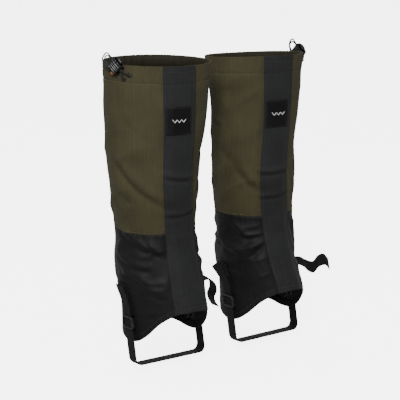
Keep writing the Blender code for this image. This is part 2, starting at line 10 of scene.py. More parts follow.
import bpy
import numpy as np
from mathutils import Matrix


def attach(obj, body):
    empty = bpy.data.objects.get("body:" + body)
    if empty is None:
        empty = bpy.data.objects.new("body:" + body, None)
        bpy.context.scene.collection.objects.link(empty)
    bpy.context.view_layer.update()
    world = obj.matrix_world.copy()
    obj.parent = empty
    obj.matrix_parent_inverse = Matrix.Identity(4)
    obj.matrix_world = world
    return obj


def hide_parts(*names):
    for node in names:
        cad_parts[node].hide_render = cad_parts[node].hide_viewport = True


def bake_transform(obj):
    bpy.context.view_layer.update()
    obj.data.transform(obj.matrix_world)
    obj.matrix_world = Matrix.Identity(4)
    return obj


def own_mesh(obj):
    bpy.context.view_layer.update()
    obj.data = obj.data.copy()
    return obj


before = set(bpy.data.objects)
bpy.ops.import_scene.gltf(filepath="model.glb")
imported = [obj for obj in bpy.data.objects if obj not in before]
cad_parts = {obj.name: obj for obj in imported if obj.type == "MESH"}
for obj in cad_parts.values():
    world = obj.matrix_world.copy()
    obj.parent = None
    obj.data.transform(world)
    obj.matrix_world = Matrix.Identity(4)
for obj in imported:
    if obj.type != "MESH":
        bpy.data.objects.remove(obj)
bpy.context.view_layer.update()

bl_info = {
    "name": "Hiking Gaiters",
    "version": (1, 0, 0),
    "blender": (4, 5, 0),
    "location": "View3D > Sidebar > Gaiters",
    "description": "Builds a pair of knee-high gaiters in coated cloth and webbing",
    "category": "Add Mesh",
}

MM = 0.001
UV_MM = 100.0               # one unit of a piece's UV map is this many millimetres
WAVE_PERIOD = math.pi / 10  # a Wave texture of scale 1 repeats after this length

# ---- sizes that the frame's pieces were made to, in millimetres ----
PAIR_SPACING = 204.0
SEAM_HEIGHT = 215.0
FACE_GAP = 0.4
CLOTH = 1.2
WEBBING = 1.4
WEBBING_WIDTH = 20.0
OPENING_HALF = 8.0
CASING_HEIGHT = 28.0
CORD_DIAMETER = 2.2
LABEL_SIZE = (40.0, 43.0)
BUCKLE_HEIGHT = 68.0
BUCKLE_SIZE = (26.0, 20.0, 5.4)
STRAP_LEAN = 0.2
SIDE_ARC = 117.0
LEAN_HEIGHT = 92.0        # where a webbing tab's lean, forward below and back above, is nothing
TAB_TOP = 131.0
TAB_CLEAR = 0.5
TAB_CROWN = 0.9
LABEL_SHIFT = -2.0
LABEL_FACE = 1.45
MARK_WIDTH = 20.8
MARK_HEIGHT = 4.4
TAPE_TOP = 441.0
ELASTIC_SPAN = (139.0, 155.0)
HEM_TAPE_SPAN = (0.6, 12.0)
LINING_START = 34.0
LOCK_BODY = (20.0, 18.0, 11.0)
LOCK_TURN = 45.0
PLUNGER_FOOT = -1.8
STRAND_LANE = 0.7
TAG_SIZE = (7.0, 5.0, 3.6)
# Rows of stitches: how far the thread stands off the panels and off the strip and the tabs, and
# how far the rows lie from the hem and the rim, from each seam and from the strip's edges.
PANEL_THREAD = 0.12
STRIP_THREAD = 0.15
EDGE_ROW = 9.0
SEAM_ROW = 2.6
BACK_ROW = 3.0
STRIP_ROW = 3.2
# The cord's loop beyond the lock, folded down beside it: along the plunger from the lock's
# centre, along the cord from the lock's end, and outward. The tag hangs from its tip.
LOOP_TIP = (-12.6, -9.5, -2.6)
CORD_LOOP = ((3.3, 12.1, 0.0), (0.1, 15.1, 0.0), (-4.7, 14.7, 0.2), (-10.4, 12.5, 0.8),
             (-12.6, 5.0, 0.6), (-12.6, -3.0, -0.6), LOOP_TIP, (-11.9, -3.0, -3.8),
             (-11.6, 4.0, -2.6), (-8.6, 10.2, -1.4), (-4.2, 11.9, -0.6), (-0.9, 11.1, 0.0))

# Stations up the leg: height, centre x, centre y, half width, depth in front, depth behind,
# turn of the wide axis (degrees), turn of the front centre line (degrees).
RIGHT_STATIONS = (
    (20, 12, -8, 60, 102, 62, 0, 0),
    (90, 12, -8, 62, 92, 62, 0, -2),
    (145, 6, -8, 66, 78, 66, 0, 0),
    (195, 3, -8, 63, 66, 62, -4, 6),
    (280, -1, -10, 70, 66, 62, -14, 12),
    (380, -1, -14, 79, 60, 58, -28, 22),
    (485, 2, -17, 84, 52, 53, -38, 24),
)
LEFT_STATIONS = (
    (20, 9, -8, 60, 102, 62, 0, 0),
    (90, 9, -8, 62, 92, 62, 0, 0),
    (145, 2, -8, 61, 78, 66, 0, -2),
    (195, 0, -8, 64, 66, 62, -4, 0),
    (280, -3, -10, 67, 66, 62, -14, 6),
    (380, -4, -14, 72, 60, 58, -28, 22),
    (485, -8, -17, 80, 52, 52, -38, 29),
)
# Lower edge of the cloth: distance from the front centre line, height.
HEM = ((0, 93), (30, 88), (58, 73), (85, 51), (105, 39), (130, 35), (160, 42), (225, 57))

# Folds in each gaiter's cloth: from (s, z), to (s, z), height, width. The hollow lies on the
# line and the ridge beside it, above the line where it runs towards +X.
RIGHT_FOLDS = (
    (-112, 336, -26, 258, 2.6, 6.0),
    (-96, 402, -52, 360, 1.0, 8.0),
    (-118, 286, -70, 262, 1.2, 7.0),
    (-27, 306, 27, 298, 1.9, 3.6),
    (-29, 243, 27, 246, 1.5, 3.4),
    (-112, 216, -40, 182, 2.4, 5.0),
    (-60, 206, -36, 176, 1.2, 4.0),
    (-124, 172, -56, 156, 2.2, 4.5),
    (-120, 148, -62, 134, 2.0, 4.5),
    (-84, 130, -40, 112, 1.4, 5.0),
    (-104, 80, -60, 84, 1.6, 4.0),
    (54, 196, 84, 150, 2.4, 5.0),
    (50, 170, 78, 126, 1.6, 5.0),
    (84, 300, 34, 260, 1.8, 5.0),
    (96, 344, 52, 318, 1.2, 6.0),
    (150, 190, 196, 160, 2.2, 5.0),
    (-196, 250, -140, 232, 2.0, 6.0),
    (120, 268, 186, 250, 1.8, 6.0),
)
LEFT_FOLDS = (
    (-29, 286, 27, 290, 1.9, 3.6),
    (-29, 246, 26, 252, 1.6, 3.2),
    (-66, 298, -26, 256, 2.0, 6.0),
    (-104, 330, -60, 300, 1.0, 7.0),
    (-80, 134, -30, 170, 2.6, 5.0),
    (-84, 196, -44, 176, 1.4, 5.0),
    (-118, 160, -66, 148, 2.2, 5.0),
    (-128, 374, -98, 358, 1.6, 4.5),
    (34, 330, 62, 226, 1.8, 5.0),
    (56, 320, 74, 240, 1.6, 5.0),
    (34, 206, 64, 140, 1.8, 5.0),
    (60, 178, 84, 120, 1.8, 5.0),
    (118, 300, 180, 270, 1.8, 6.0),
    (-190, 210, -140, 180, 2.2, 6.0),
    (130, 170, 190, 150, 2.0, 5.0),
)

TAILS = {
    ("right", "outer"): ((0, 5, 25, 0), (2, 7, 36, 0), (6, 9, 49, 0), (9, 11, 60, 0)),
    ("right", "inner"): ((0, 5, 25, 0), (3, 6, 36, 0), (11, 4, 46, 5), (22, 0, 47, 10),
                         (30, -3, 39, 15), (31, -4, 28, 15), (27, -3, 18, 10), (30, -3, 8, 5),
                         (36, -4, -1, 0)),
    ("left", "outer"): ((0, 5, 25, 0), (3, 5, 35, 8), (11, 2, 43, 25), (22, -3, 42, 50),
                        (31, -8, 35, 70), (41, -12, 31, 80), (50, -16, 41, 78), (60, -19, 43, 75),
                        (68, -22, 34, 75)),
    ("left", "inner"): ((0, 5, 25, 0), (2, 9, 35, -12), (4, 18, 46, -25), (5, 30, 57, -35)),
}


# ---- curves and noise, as whole arrays ----

def ease(t):
    """Rises smoothly from 0 to 1: three t squared less two t cubed, t held within 0 and 1."""
    t = np.clip(t, 0, 1)
    return t * t * (3 - 2 * t)


def curve_through(at, places, values):
    """Smooth curve through points: a cubic between each two, with shared slopes."""
    places = np.asarray(places, float)
    values = np.asarray(values, float)
    slopes = np.gradient(values, places)
    at = np.clip(at, places[0], places[-1])
    i = np.clip(np.searchsorted(places, at) - 1, 0, len(places) - 2)
    step = places[i + 1] - places[i]
    t = (at - places[i]) / step
    return ((2 * t**3 - 3 * t**2 + 1) * values[i] + (t**3 - 2 * t**2 + t) * step * slopes[i]
            + (3 * t**2 - 2 * t**3) * values[i + 1] + (t**3 - t**2) * step * slopes[i + 1])


def run_length(points):
    """Distance along a path at each of its points."""
    steps = np.linalg.norm(np.diff(points[:, :3], axis=0), axis=1)
    return np.concatenate([[0], np.cumsum(steps)])


def smooth_path(points, spacing):
    """Points about `spacing` apart along a smooth curve through the given ones."""
    points = np.asarray(points, float)
    along = run_length(points)
    count = max(2, int(round(along[-1] / spacing)) + 1)
    at = np.linspace(0, along[-1], count)
    return np.stack([curve_through(at, along, column) for column in points.T], -1)


def even_path(points, spacing):
    """The same path with its points moved to an even distance apart."""
    along = run_length(points)
    at = np.linspace(0, along[-1], int(round(along[-1] / spacing)) + 1)
    return np.stack([np.interp(at, along, column) for column in points.T], -1)


def noise(u, v, seed):
    """Random values from -1 to 1 at whole numbers, blended between them by a quintic curve."""
    u, v = np.broadcast_arrays(u, v)
    i, j = np.floor(u).astype(int), np.floor(v).astype(int)
    a, b = u - i, v - j
    a = a**3 * (a * (6 * a - 15) + 10)
    b = b**3 * (b * (6 * b - 15) + 10)
    lattice = np.random.default_rng(seed).uniform(-1, 1, (64, 64))
    low = lattice[i % 64, j % 64] * (1 - a) + lattice[(i + 1) % 64, j % 64] * a
    high = lattice[i % 64, (j + 1) % 64] * (1 - a) + lattice[(i + 1) % 64, (j + 1) % 64] * a
    return low * (1 - b) + high * b


def hem(s):
    """Height of the cloth's lower edge: a smooth curve through its few points."""
    places, heights = zip(*HEM)
    return curve_through(np.abs(s), places, heights)


def oval(turn, power_across, power_along):
    """x = |cos t|^a and y = |sin t|^b with their signs kept: the corners square as the powers
    fall."""
    across, along = np.cos(turn), np.sin(turn)
    return (np.sign(across) * np.abs(across) ** power_across,
            np.sign(along) * np.abs(along) ** power_along)


def unit(vector):
    """The same direction, one long."""
    return np.asarray(vector, float) / np.linalg.norm(vector)


class Leg:
    """One gaiter's cloth surface. Each height has an outline of two half ellipses on one wide
    axis, turned as a whole: centre + half width * sin(angle) along the axis + depth *
    cos(angle) across it. The outlines are laid out by arc length once, and points between are
    blended from the nearest rows and columns."""

    RISE, REACH = 2.0, 1.0

    def __init__(self, name, side, stations, rim, label_drop, flap_half, hinge_shift, folds, seed):
        self.name, self.side, self.x = name, side, side * PAIR_SPACING / 2
        self.table, self.rim_heights, self.label_drop = np.array(stations, float), rim, label_drop
        self.flap_half, self.hinge_shift, self.folds, self.seed = flap_half, hinge_shift, folds, seed
        self.heights = np.arange(stations[0][0], stations[-1][0] + self.RISE, self.RISE)
        x, y, arc = self.outline(self.heights)
        self.ends = {-1: -arc[:, 0], 1: arc[:, -1]}
        self.reach = np.arange(-250.0, 250.5, self.REACH)
        wrapped = arc[:, :1] + np.mod(self.reach - arc[:, :1], arc[:, -1:] - arc[:, :1])
        self.x_table = np.stack([np.interp(w, a, p) for w, a, p in zip(wrapped, arc, x)])
        self.y_table = np.stack([np.interp(w, a, p) for w, a, p in zip(wrapped, arc, y)])

    def outline(self, z):
        """Outline points of each height, with their arc distance from the front centre line."""
        z = np.asarray(z, float)[:, None]
        cx, cy, half, front, back, turn, shift = (
            curve_through(z, self.table[:, 0], self.table[:, k]) for k in range(1, 8))
        turn = np.radians(turn)
        angle = np.radians(np.arange(-180.0, 180.5, 1.0))[None, :] + np.radians(shift)
        across, deep = np.sin(angle), np.cos(angle)
        depth = np.where(deep > 0, front, back)
        x = cx + half * across * np.cos(turn) + depth * deep * np.sin(turn)
        y = cy + half * across * np.sin(turn) - depth * deep * np.cos(turn)
        steps = np.hypot(np.diff(x, axis=1), np.diff(y, axis=1))
        arc = np.concatenate([np.zeros((len(x), 1)), np.cumsum(steps, axis=1)], axis=1)
        return x, y, arc - arc[:, [180]]

    def look_up(self, table, s, z):
        """Value between four neighbours of a table, each weighed by how near it is."""
        u = np.clip((s - self.reach[0]) / self.REACH, 0, len(self.reach) - 1.001)
        v = np.clip((z - self.heights[0]) / self.RISE, 0, len(self.heights) - 1.001)
        i, j = v.astype(int), u.astype(int)
        a, b = v - i, u - j
        low = table[i, j] * (1 - b) + table[i, j + 1] * b
        high = table[i + 1, j] * (1 - b) + table[i + 1, j + 1] * b
        return low * (1 - a) + high * a

    def point(self, s, z, off=0.0):
        """Place of smooth cloth: the outline's point moved off square to the outline."""
        s, z, off = np.broadcast_arrays(*(np.asarray(v, float) for v in (s, z, off)))
        x, y = self.look_up(self.x_table, s, z), self.look_up(self.y_table, s, z)
        along_x = self.look_up(self.x_table, s + 2, z) - self.look_up(self.x_table, s - 2, z)
        along_y = self.look_up(self.y_table, s + 2, z) - self.look_up(self.y_table, s - 2, z)
        long = np.hypot(along_x, along_y)
        return np.stack([x + off * along_y / long + self.x, y - off * along_x / long, z], -1)

    def back_arc(self, z, side):
        """Distance round to the centre-back seam on one side."""
        return np.interp(z, self.heights, self.ends[1 if side > 0 else -1])

    def rim(self, s, girth_half=215.0):
        """Height of the rim, which tilts from front to back on half a cosine wave."""
        front, back = self.rim_heights
        return front + (back - front) * (1 - np.cos(np.pi * np.clip(np.abs(s) / girth_half, 0, 1))) / 2

    def relief(self, s, z):
        """How far worn cloth stands out from its smooth shape: wide bulges, ridged wrinkles at
        the ankle, the named folds, fine crumple, and the ditch and puckers along each seam."""
        settings = bpy.context.scene.gaiter_cloth
        below_rim, above_hem = self.rim(s) - z, z - hem(s)
        calm = ease(below_rim / 45) * ease(above_hem / 20 + 0.3)
        strip = ease((np.abs(s) - 24) / 14)
        out = 1.7 * noise(s / 52 + 7, z / 66, self.seed) * calm * (0.4 + 0.6 * strip)
        warp = 7 * noise(s / 37, z / 29, self.seed + 1)
        ankle = ease((z - 96) / 30) * ease((212 - z) / 26) * (0.12 + 0.88 * strip)
        crest = 1 - 2 * np.abs(noise((s + warp) / 44, (z + 0.3 * np.abs(s) + warp) / 17, self.seed + 2))
        out = out + 1.3 * settings.folding * ankle * crest
        upper = ease((z - 222) / 30) * calm * strip
        sweep = 1 - 2 * np.abs(noise((s + z * 0.8 + warp) / 90, (z - 0.6 * s + warp) / 46, self.seed + 3))
        out = out + 0.7 * settings.folding * upper * sweep
        for s0, z0, s1, z1, height, width in self.folds:
            out = out + settings.folding * fold(s, z, (s0, z0), (s1, z1), height, width)
        crumple = noise(s / 7, z / 9, self.seed + 4) + 0.5 * noise(s / 3.1, z / 3.7, self.seed + 5)
        out = out + settings.crumple * crumple * (0.35 + 0.65 * ease((SEAM_HEIGHT - z) / 20))
        wander = 1.5 * noise(s / 15, z / 40, self.seed + 6)
        pucker = np.sin(2 * np.pi * s / 8.5 + 2 * wander)
        seam = z - SEAM_HEIGHT
        out = out + 0.35 * pucker * np.exp(-(seam / 7) ** 2) - 0.5 * np.exp(-((seam - 0.5) / 1.3) ** 2)
        hemline = below_rim - CASING_HEIGHT + 0.5
        out = out - 0.55 * np.exp(-(hemline / 1.4) ** 2) + 0.25 * pucker * np.exp(-(hemline / 6) ** 2)
        gather = np.sin(2 * np.pi * s / 15 + 3 * wander) * ease((CASING_HEIGHT - below_rim) / 9)
        out = out + 0.45 * gather * strip + 0.5 * ease((CASING_HEIGHT - 2 - below_rim) / 5) * strip
        edge = above_hem - 9.0
        out = out - 0.35 * np.exp(-(edge / 1.3) ** 2) + 0.25 * pucker * np.exp(-(edge / 6) ** 2)
        lock_s, lock_z = self.side * 90.0, self.rim(90.0) - 12.0
        still = 1 - np.exp(-((s - lock_s) / 22) ** 2 - ((z - lock_z) / 16) ** 2)
        tab = 1 - 0.85 * np.exp(-((np.abs(s) - SIDE_ARC) / 15) ** 2) * ease((140 - z) / 30)
        return out * still * tab

    def cloth(self, s, z, off=0.0):
        """Place of worn cloth: the smooth place moved out by the relief."""
        return self.point(s, z, off + self.relief(s, z))


def fold(s, z, start, end, height, width):
    """Fold along a line: minus a bell curve on the line plus a wider bell curve beside it,
    faded at both ends of the line."""
    run_s, run_z = end[0] - start[0], end[1] - start[1]
    length = math.hypot(run_s, run_z)
    along = ((s - start[0]) * run_s + (z - start[1]) * run_z) / length**2
    across = ((z - start[1]) * run_s - (s - start[0]) * run_z) / length
    bowed = across + 0.06 * length * (4 * along * (1 - along))
    fade = ease((along + 0.12) / 0.4) * ease((1.12 - along) / 0.4)
    hollow = np.exp(-(bowed / width) ** 2)
    ridge = np.exp(-((bowed - 1.9 * width) / (1.5 * width)) ** 2)
    return height * fade * (0.75 * ridge - 0.7 * hollow)


LEGS = (
    Leg("right", -1, RIGHT_STATIONS, (477, 481), 62, (25, 31), 6.5, RIGHT_FOLDS, 11),
    Leg("left", 1, LEFT_STATIONS, (476, 468), 71, (25, 26), 0.0, LEFT_FOLDS, 29),
)


# ---- meshes from arrays ----

def put_mesh(name, points, quads, uv=None):
    """A mesh object from arrays: points in millimetres, quads as point numbers, uv per point."""
    quads = np.asarray(quads).reshape(-1, 4)
    mesh = bpy.data.meshes.new(name)
    mesh.vertices.add(len(points))
    mesh.vertices.foreach_set("co", (np.asarray(points, float) * MM).astype(np.float32).ravel())
    mesh.loops.add(quads.size)
    mesh.loops.foreach_set("vertex_index", quads.ravel().astype(np.int32))
    mesh.polygons.add(len(quads))
    mesh.polygons.foreach_set("loop_start", np.arange(0, quads.size, 4, dtype=np.int32))
    mesh.polygons.foreach_set("use_smooth", np.full(len(quads), True))
    mesh.update(calc_edges=True)
    if uv is not None:
        layer = mesh.uv_layers.new(name="cloth")
        layer.data.foreach_set("uv", np.asarray(uv, np.float32)[quads.ravel()].ravel() / UV_MM)
    mesh.validate()
    obj = bpy.data.objects.new(name, mesh)
    bpy.context.scene.collection.objects.link(obj)
    return obj


def fix_faces(obj):
    """Turn a closed mesh the right way out if its volume, summed over its faces, is negative."""
    mesh = obj.data
    co = np.empty(len(mesh.vertices) * 3)
    mesh.vertices.foreach_get("co", co)
    index = np.empty(len(mesh.loops), dtype=np.int32)
    mesh.loops.foreach_get("vertex_index", index)
    a, b, c, d = np.moveaxis(co.reshape(-1, 3)[index.reshape(-1, 4)], 1, 0)
    if (np.cross(a, b) * c).sum() + (np.cross(a, c) * d).sum() < 0:
        mesh.flip_normals()


def grid_quads(rows, columns, close_rows=False, close_columns=False):
    """Point numbers of every quad of a grid, facing out where rows run up and columns run to
    the right; a closed way joins its last line to its first."""
    index = np.arange(rows * columns).reshape(rows, columns)
    if close_rows:
        index = np.concatenate([index, index[:1]])
    if close_columns:
        index = np.concatenate([index, index[:, :1]], axis=1)
    return np.stack([index[:-1, :-1], index[:-1, 1:], index[1:, 1:], index[1:, :-1]], -1)


def layer(name, points, uv, thickness, edge=0.35):
    """A layer of cloth: an open grid with its outer face on the points, its thickness behind
    it, and its cut edges rounded. Its map is given as a pair of grids in millimetres."""
    rows, columns = points.shape[:2]
    obj = put_mesh(name, points.reshape(-1, 3), grid_quads(rows, columns), np.stack(uv, -1).reshape(-1, 2))
    solid = obj.modifiers.new("thickness", "SOLIDIFY")
    solid.thickness = thickness * MM
    solid.offset = -1.0
    rounding = obj.modifiers.new("edge", "BEVEL")
    rounding.width = edge * MM
    rounding.segments = 2
    rounding.limit_method = "ANGLE"
    rounding.angle_limit = math.radians(60)
    return obj


def turned_frame(path):
    """Directions along and square to a path. The square ones start from a fixed direction and
    take back the turn that this adds between neighbours, so that they never twist."""
    along = np.gradient(path, axis=0)
    along /= np.linalg.norm(along, axis=1, keepdims=True)
    guide = np.eye(3)[np.argmin(np.abs(along).sum(axis=0))]
    first = np.cross(along, guide)
    first /= np.maximum(np.linalg.norm(first, axis=1, keepdims=True), 1e-9)
    second = np.cross(along, first)
    carried = first[:-1] - along[1:] * np.sum(first[:-1] * along[1:], axis=1, keepdims=True)
    twist = np.arctan2(np.sum(carried * second[1:], axis=1), np.sum(carried * first[1:], axis=1))
    total = np.concatenate([[0], np.cumsum(twist)])[:, None]
    across = first * np.cos(total) + second * np.sin(total)
    return along, across, second * np.cos(total) - first * np.sin(total)


def rod(name, path, radius, sides=10, closed=False):
    """Round bar: a circle of the radius carried along the path. Its ends close in a small dome
    of two smaller circles."""
    path = np.asarray(path, float)
    if closed:
        path = np.concatenate([path[-3:], path, path[:3]])
    along, first, second = turned_frame(path)
    size = np.broadcast_to(np.asarray(radius, float), len(path)).copy()
    if closed:
        path, along, first, second, size = (a[3:-3] for a in (path, along, first, second, size))
    else:
        ends = [(0, -1.0, 0.02), (0, -0.75, 0.65), (-1, 0.75, 0.65), (-1, 1.0, 0.02)]
        caps = [(path[i] + along[i] * size[i] * reach, along[i], first[i], second[i], size[i] * share)
                for i, reach, share in ends]
        head, tail = caps[:2], caps[2:]
        path, along, first, second, size = (
            np.concatenate([[c[k] for c in head], column, [c[k] for c in tail]])
            for k, column in enumerate((path, along, first, second, size)))
    turn = np.linspace(0, 2 * np.pi, sides, endpoint=False)
    ring = (first[:, None] * np.cos(turn)[None, :, None] + second[:, None] * np.sin(turn)[None, :, None])
    points = path[:, None] + ring * size[:, None, None]
    across = np.broadcast_to(turn / (2 * np.pi) * UV_MM, points.shape[:2])
    uv = np.stack([across, np.broadcast_to(run_length(path)[:, None], points.shape[:2])], -1)
    quads = grid_quads(len(path), sides, close_rows=closed, close_columns=True)
    return put_mesh(name, points.reshape(-1, 3), quads, uv.reshape(-1, 2))


def band(name, path, widths, width, thickness, sides=26):
    """Webbing: a flat oval, x = |cos t|^0.35 and y = |sin t|^0.55, carried along a path with its
    wide way given."""
    path, widths = np.asarray(path, float), np.asarray(widths, float)
    along = np.gradient(path, axis=0)
    normal = np.cross(along, widths)
    normal /= np.linalg.norm(normal, axis=1, keepdims=True)
    turn = np.linspace(0, 2 * np.pi, sides, endpoint=False)
    wide, deep = oval(turn, 0.35, 0.55)
    wide, deep = (wide * width / 2)[None, :, None], (deep * thickness / 2)[None, :, None]
    points = path[:, None] + widths[:, None] * wide + normal[:, None] * deep
    uv = np.stack(np.broadcast_arrays(wide[..., 0], run_length(path)[:, None]), -1)
    middles = np.repeat(path[[0, -1]][:, None], sides, axis=1)
    ends = middles + (points[[0, -1]] - middles) * 0.02
    points = np.concatenate([ends[:1], points, ends[1:]])
    uv = np.concatenate([uv[:1], uv, uv[-1:]])
    quads = grid_quads(len(points), sides, close_columns=True)
    return put_mesh(name, points.reshape(-1, 3), quads, uv.reshape(-1, 2))


def stitches(name, runs, length=2.7, gap=0.9, radius=0.34):
    """Rows of thread: each stitch is a closed four-sided spindle, thick in its middle and sunk
    at its ends, laid along the run with its own way out of the cloth."""
    ends = []
    for path, outward in runs:
        both = even_path(np.concatenate([path, outward], axis=1), (length + gap) / 2)
        ends.append(both[: len(both) // 2 * 2].reshape(-1, 2, 6))
    ends = np.concatenate(ends)
    middle = ends.mean(axis=1)
    run = ends[:, 1, :3] - ends[:, 0, :3]
    run /= np.linalg.norm(run, axis=1, keepdims=True)
    out = middle[:, 3:] / np.linalg.norm(middle[:, 3:], axis=1, keepdims=True)
    side = np.cross(run, out)
    at = np.array([-0.5, -0.3, 0.0, 0.3, 0.5])
    size = np.array([0.15, 0.8, 1.0, 0.8, 0.15]) * radius
    lift = np.array([-0.5, 0.2, 0.45, 0.2, -0.5]) * radius
    turn = np.linspace(0, 2 * np.pi, 4, endpoint=False)
    ring = (side[:, None, None] * np.cos(turn)[None, None, :, None]
            + out[:, None, None] * np.sin(turn)[None, None, :, None]) * size[None, :, None, None]
    line = (middle[:, None, :3] + run[:, None] * (at * length)[None, :, None]
            + out[:, None] * lift[None, :, None])
    points = (line[:, :, None] + ring).reshape(-1, 3)
    one = np.concatenate([grid_quads(5, 4, close_columns=True).reshape(-1, 4),
                          [[0, 1, 2, 3], [16, 17, 18, 19]]])
    quads = one[None] + (np.arange(len(ends)) * 20)[:, None, None]
    rows = put_mesh(name, points, quads.reshape(-1, 4))
    fix_faces(rows)
    return rows


# ---- finishes ----

def linear(code):
    """sRGB hex to linear light: v / 12.92 when dark, else ((v + 0.055) / 1.055) ^ 2.4."""
    levels = np.array([int(code[i:i + 2], 16) / 255 for i in (1, 3, 5)])
    light = np.where(levels <= 0.04045, levels / 12.92, ((levels + 0.055) / 1.055) ** 2.4)
    return (*light.tolist(), 1.0)


def add(tree, kind, links=(), **settings):
    """Add a node, set its properties, and fill or link its inputs by name or number."""
    node = tree.nodes.new(kind)
    for key, value in settings.items():
        setattr(node, key, value)
    for key, value in dict(links).items():
        if isinstance(value, bpy.types.NodeSocket):
            tree.links.new(value, node.inputs[key])
        else:
            node.inputs[key].default_value = value
    return node


def new_finish(name, **sockets):
    """A material with its shader's constants set on the shader's own sockets."""
    material = bpy.data.materials.new(name)
    material.use_nodes = True
    shader = material.node_tree.nodes["Principled BSDF"]
    for key, value in sockets.items():
        shader.inputs[key.replace("_", " ")].default_value = value
    return material, material.node_tree, shader


def join(tree, shader, **sockets):
    """Link outputs to the shader's inputs of those names."""
    for key, socket in sockets.items():
        tree.links.new(socket, shader.inputs[key.replace("_", " ")])


def threads(tree, across, along):
    """Plain weave as a height: bars along each way, of the given spacings in millimetres, and a
    checker of the same cells that says which lies on top."""
    uv = add(tree, "ShaderNodeUVMap", uv_map="cloth").outputs[0]
    cells = add(tree, "ShaderNodeMapping",
                {"Vector": uv, "Scale": (UV_MM / across, UV_MM / along, 1)}).outputs[0]
    bars = [add(tree, "ShaderNodeTexWave", {"Vector": cells, "Scale": WAVE_PERIOD},
                bands_direction=way).outputs[1]
            for way in ("X", "Y")]
    over = add(tree, "ShaderNodeTexChecker", {"Vector": cells, "Scale": 1.0}).outputs[1]
    return uv, add(tree, "ShaderNodeMix", {0: over, 2: bars[0], 3: bars[1]}).outputs[0]


def blotch(tree, vector, size, stretch=1.0):
    """Soft uneven patches of a size in millimetres, longer up than across by the stretch."""
    scaled = add(tree, "ShaderNodeMapping", {"Vector": vector, "Scale": (1, 1 / stretch, 1)}).outputs[0]
    return add(tree, "ShaderNodeTexNoise",
               {"Vector": scaled, "Scale": UV_MM / size, "Detail": 3.0}).outputs[0]


def woven_cloth(name, dark, light, across, along, roughness, bump=0.35, shine=0.2):
    """Cloth of filament yarn: its colour is painted lighter on the raised yarns and darker between them, a
    painted shade of the weave; uneven yarns streak it along the warp, and handling leaves it duller in
    patches."""
    material, tree, shader = new_finish(name, Sheen_Weight=0.05, Sheen_Roughness=0.4,
                                        Specular_IOR_Level=shine)
    uv, weave = threads(tree, across, along)
    streak = blotch(tree, uv, 3.0, 26.0)
    patch = blotch(tree, uv, 46.0)
    # painted shade: the weave's height makes the colour lighter on raised yarns and darker between them; the
    # streaks and patches added next are real yarn colour
    shade_and_tone = add(tree, "ShaderNodeMath", {0: weave, 1: 0.42}, operation="MULTIPLY").outputs[0]
    shade_and_tone = add(tree, "ShaderNodeMath", {0: streak, 1: 0.3, 2: shade_and_tone}, operation="MULTIPLY_ADD").outputs[0]
    shade_and_tone = add(tree, "ShaderNodeMath", {0: patch, 1: 0.7, 2: shade_and_tone}, operation="MULTIPLY_ADD").outputs[0]
    shade_and_tone = add(tree, "ShaderNodeMapRange", {0: shade_and_tone, 1: 0.45, 2: 1.25}).outputs[0]
    colour = add(tree, "ShaderNodeMix", {0: shade_and_tone, 6: dark, 7: light}, data_type="RGBA").outputs[2]
    dull = add(tree, "ShaderNodeMapRange",
               {0: patch, 1: 0.3, 2: 0.7, 3: roughness - 0.07, 4: roughness + 0.07})
    height = add(tree, "ShaderNodeMath", {0: streak, 1: 0.5, 2: weave}, operation="MULTIPLY_ADD").outputs[0]
    relief = add(tree, "ShaderNodeBump", {"Height": height, "Strength": bump, "Distance": 0.0004})
    join(tree, shader, Base_Color=colour, Roughness=dull.outputs[0], Normal=relief.outputs[0])
    return material


def olive_oxford():
    """Polyester oxford, dyed olive and coated behind: matt, with a faint vertical streak. The
    yarns are 0.6 mm apart; drawn at 1.3 mm so that they show."""
    look = bpy.context.scene.gaiter_cloth
    return woven_cloth("olive_oxford_cloth", look.olive_dark, look.olive_light, 1.3, 1.3, 0.82)


def shaded_coated_back():
    """Back of the olive cloth, used for the rim tunnel: a thin polyurethane coat makes it smoother than its
    face, and it is drawn darker partly for the coat and partly as painted shade of the gaiter's inside.
    """
    return woven_cloth("coated_olive_cloth_back", linear("#1C1A10"), linear("#2C2919"), 1.3, 1.3, 0.7, 0.15)


def black_oxford():
    """The same cloth in black, abrasion grade: a little shinier on its folds."""
    look = bpy.context.scene.gaiter_cloth
    return woven_cloth("black_oxford_cloth", look.black_dark, look.black_light, 1.6, 1.6, 0.6, 0.35, 0.3)


def strip_oxford():
    """Front strip of finer charcoal oxford: slightly lighter than the lower cloth."""
    look = bpy.context.scene.gaiter_cloth
    return woven_cloth("charcoal_oxford_cloth", look.strip_dark, look.strip_light, 1.2, 1.2, 0.72, 0.35, 0.22)


def label_satin():
    """Woven damask label: close black yarn, flat and a little glossy."""
    return woven_cloth("black_damask_label", linear("#080808"), linear("#111112"), 0.9, 0.9, 0.6, 0.2)


def ribbed_webbing():
    """Polypropylene webbing: coarse lengthwise ribs crossed by picks, with a dull shine."""
    return woven_cloth("black_polypropylene_webbing", linear("#070708"), linear("#1C1C1D"), 2.2, 1.5,
                       0.55, 0.8)


def grosgrain():
    """Polyester grosgrain tape: fine crossways ribs."""
    return woven_cloth("black_grosgrain_tape", linear("#101011"), linear("#222223"), 0.8, 1.4, 0.7, 0.5)


def knitted_elastic():
    """Knitted elastic band: rubber cores under black yarn, seen as lengthwise cords."""
    return woven_cloth("black_knitted_elastic", linear("#111112"), linear("#2A2A2B"), 3.0, 1.8, 0.8, 0.9)


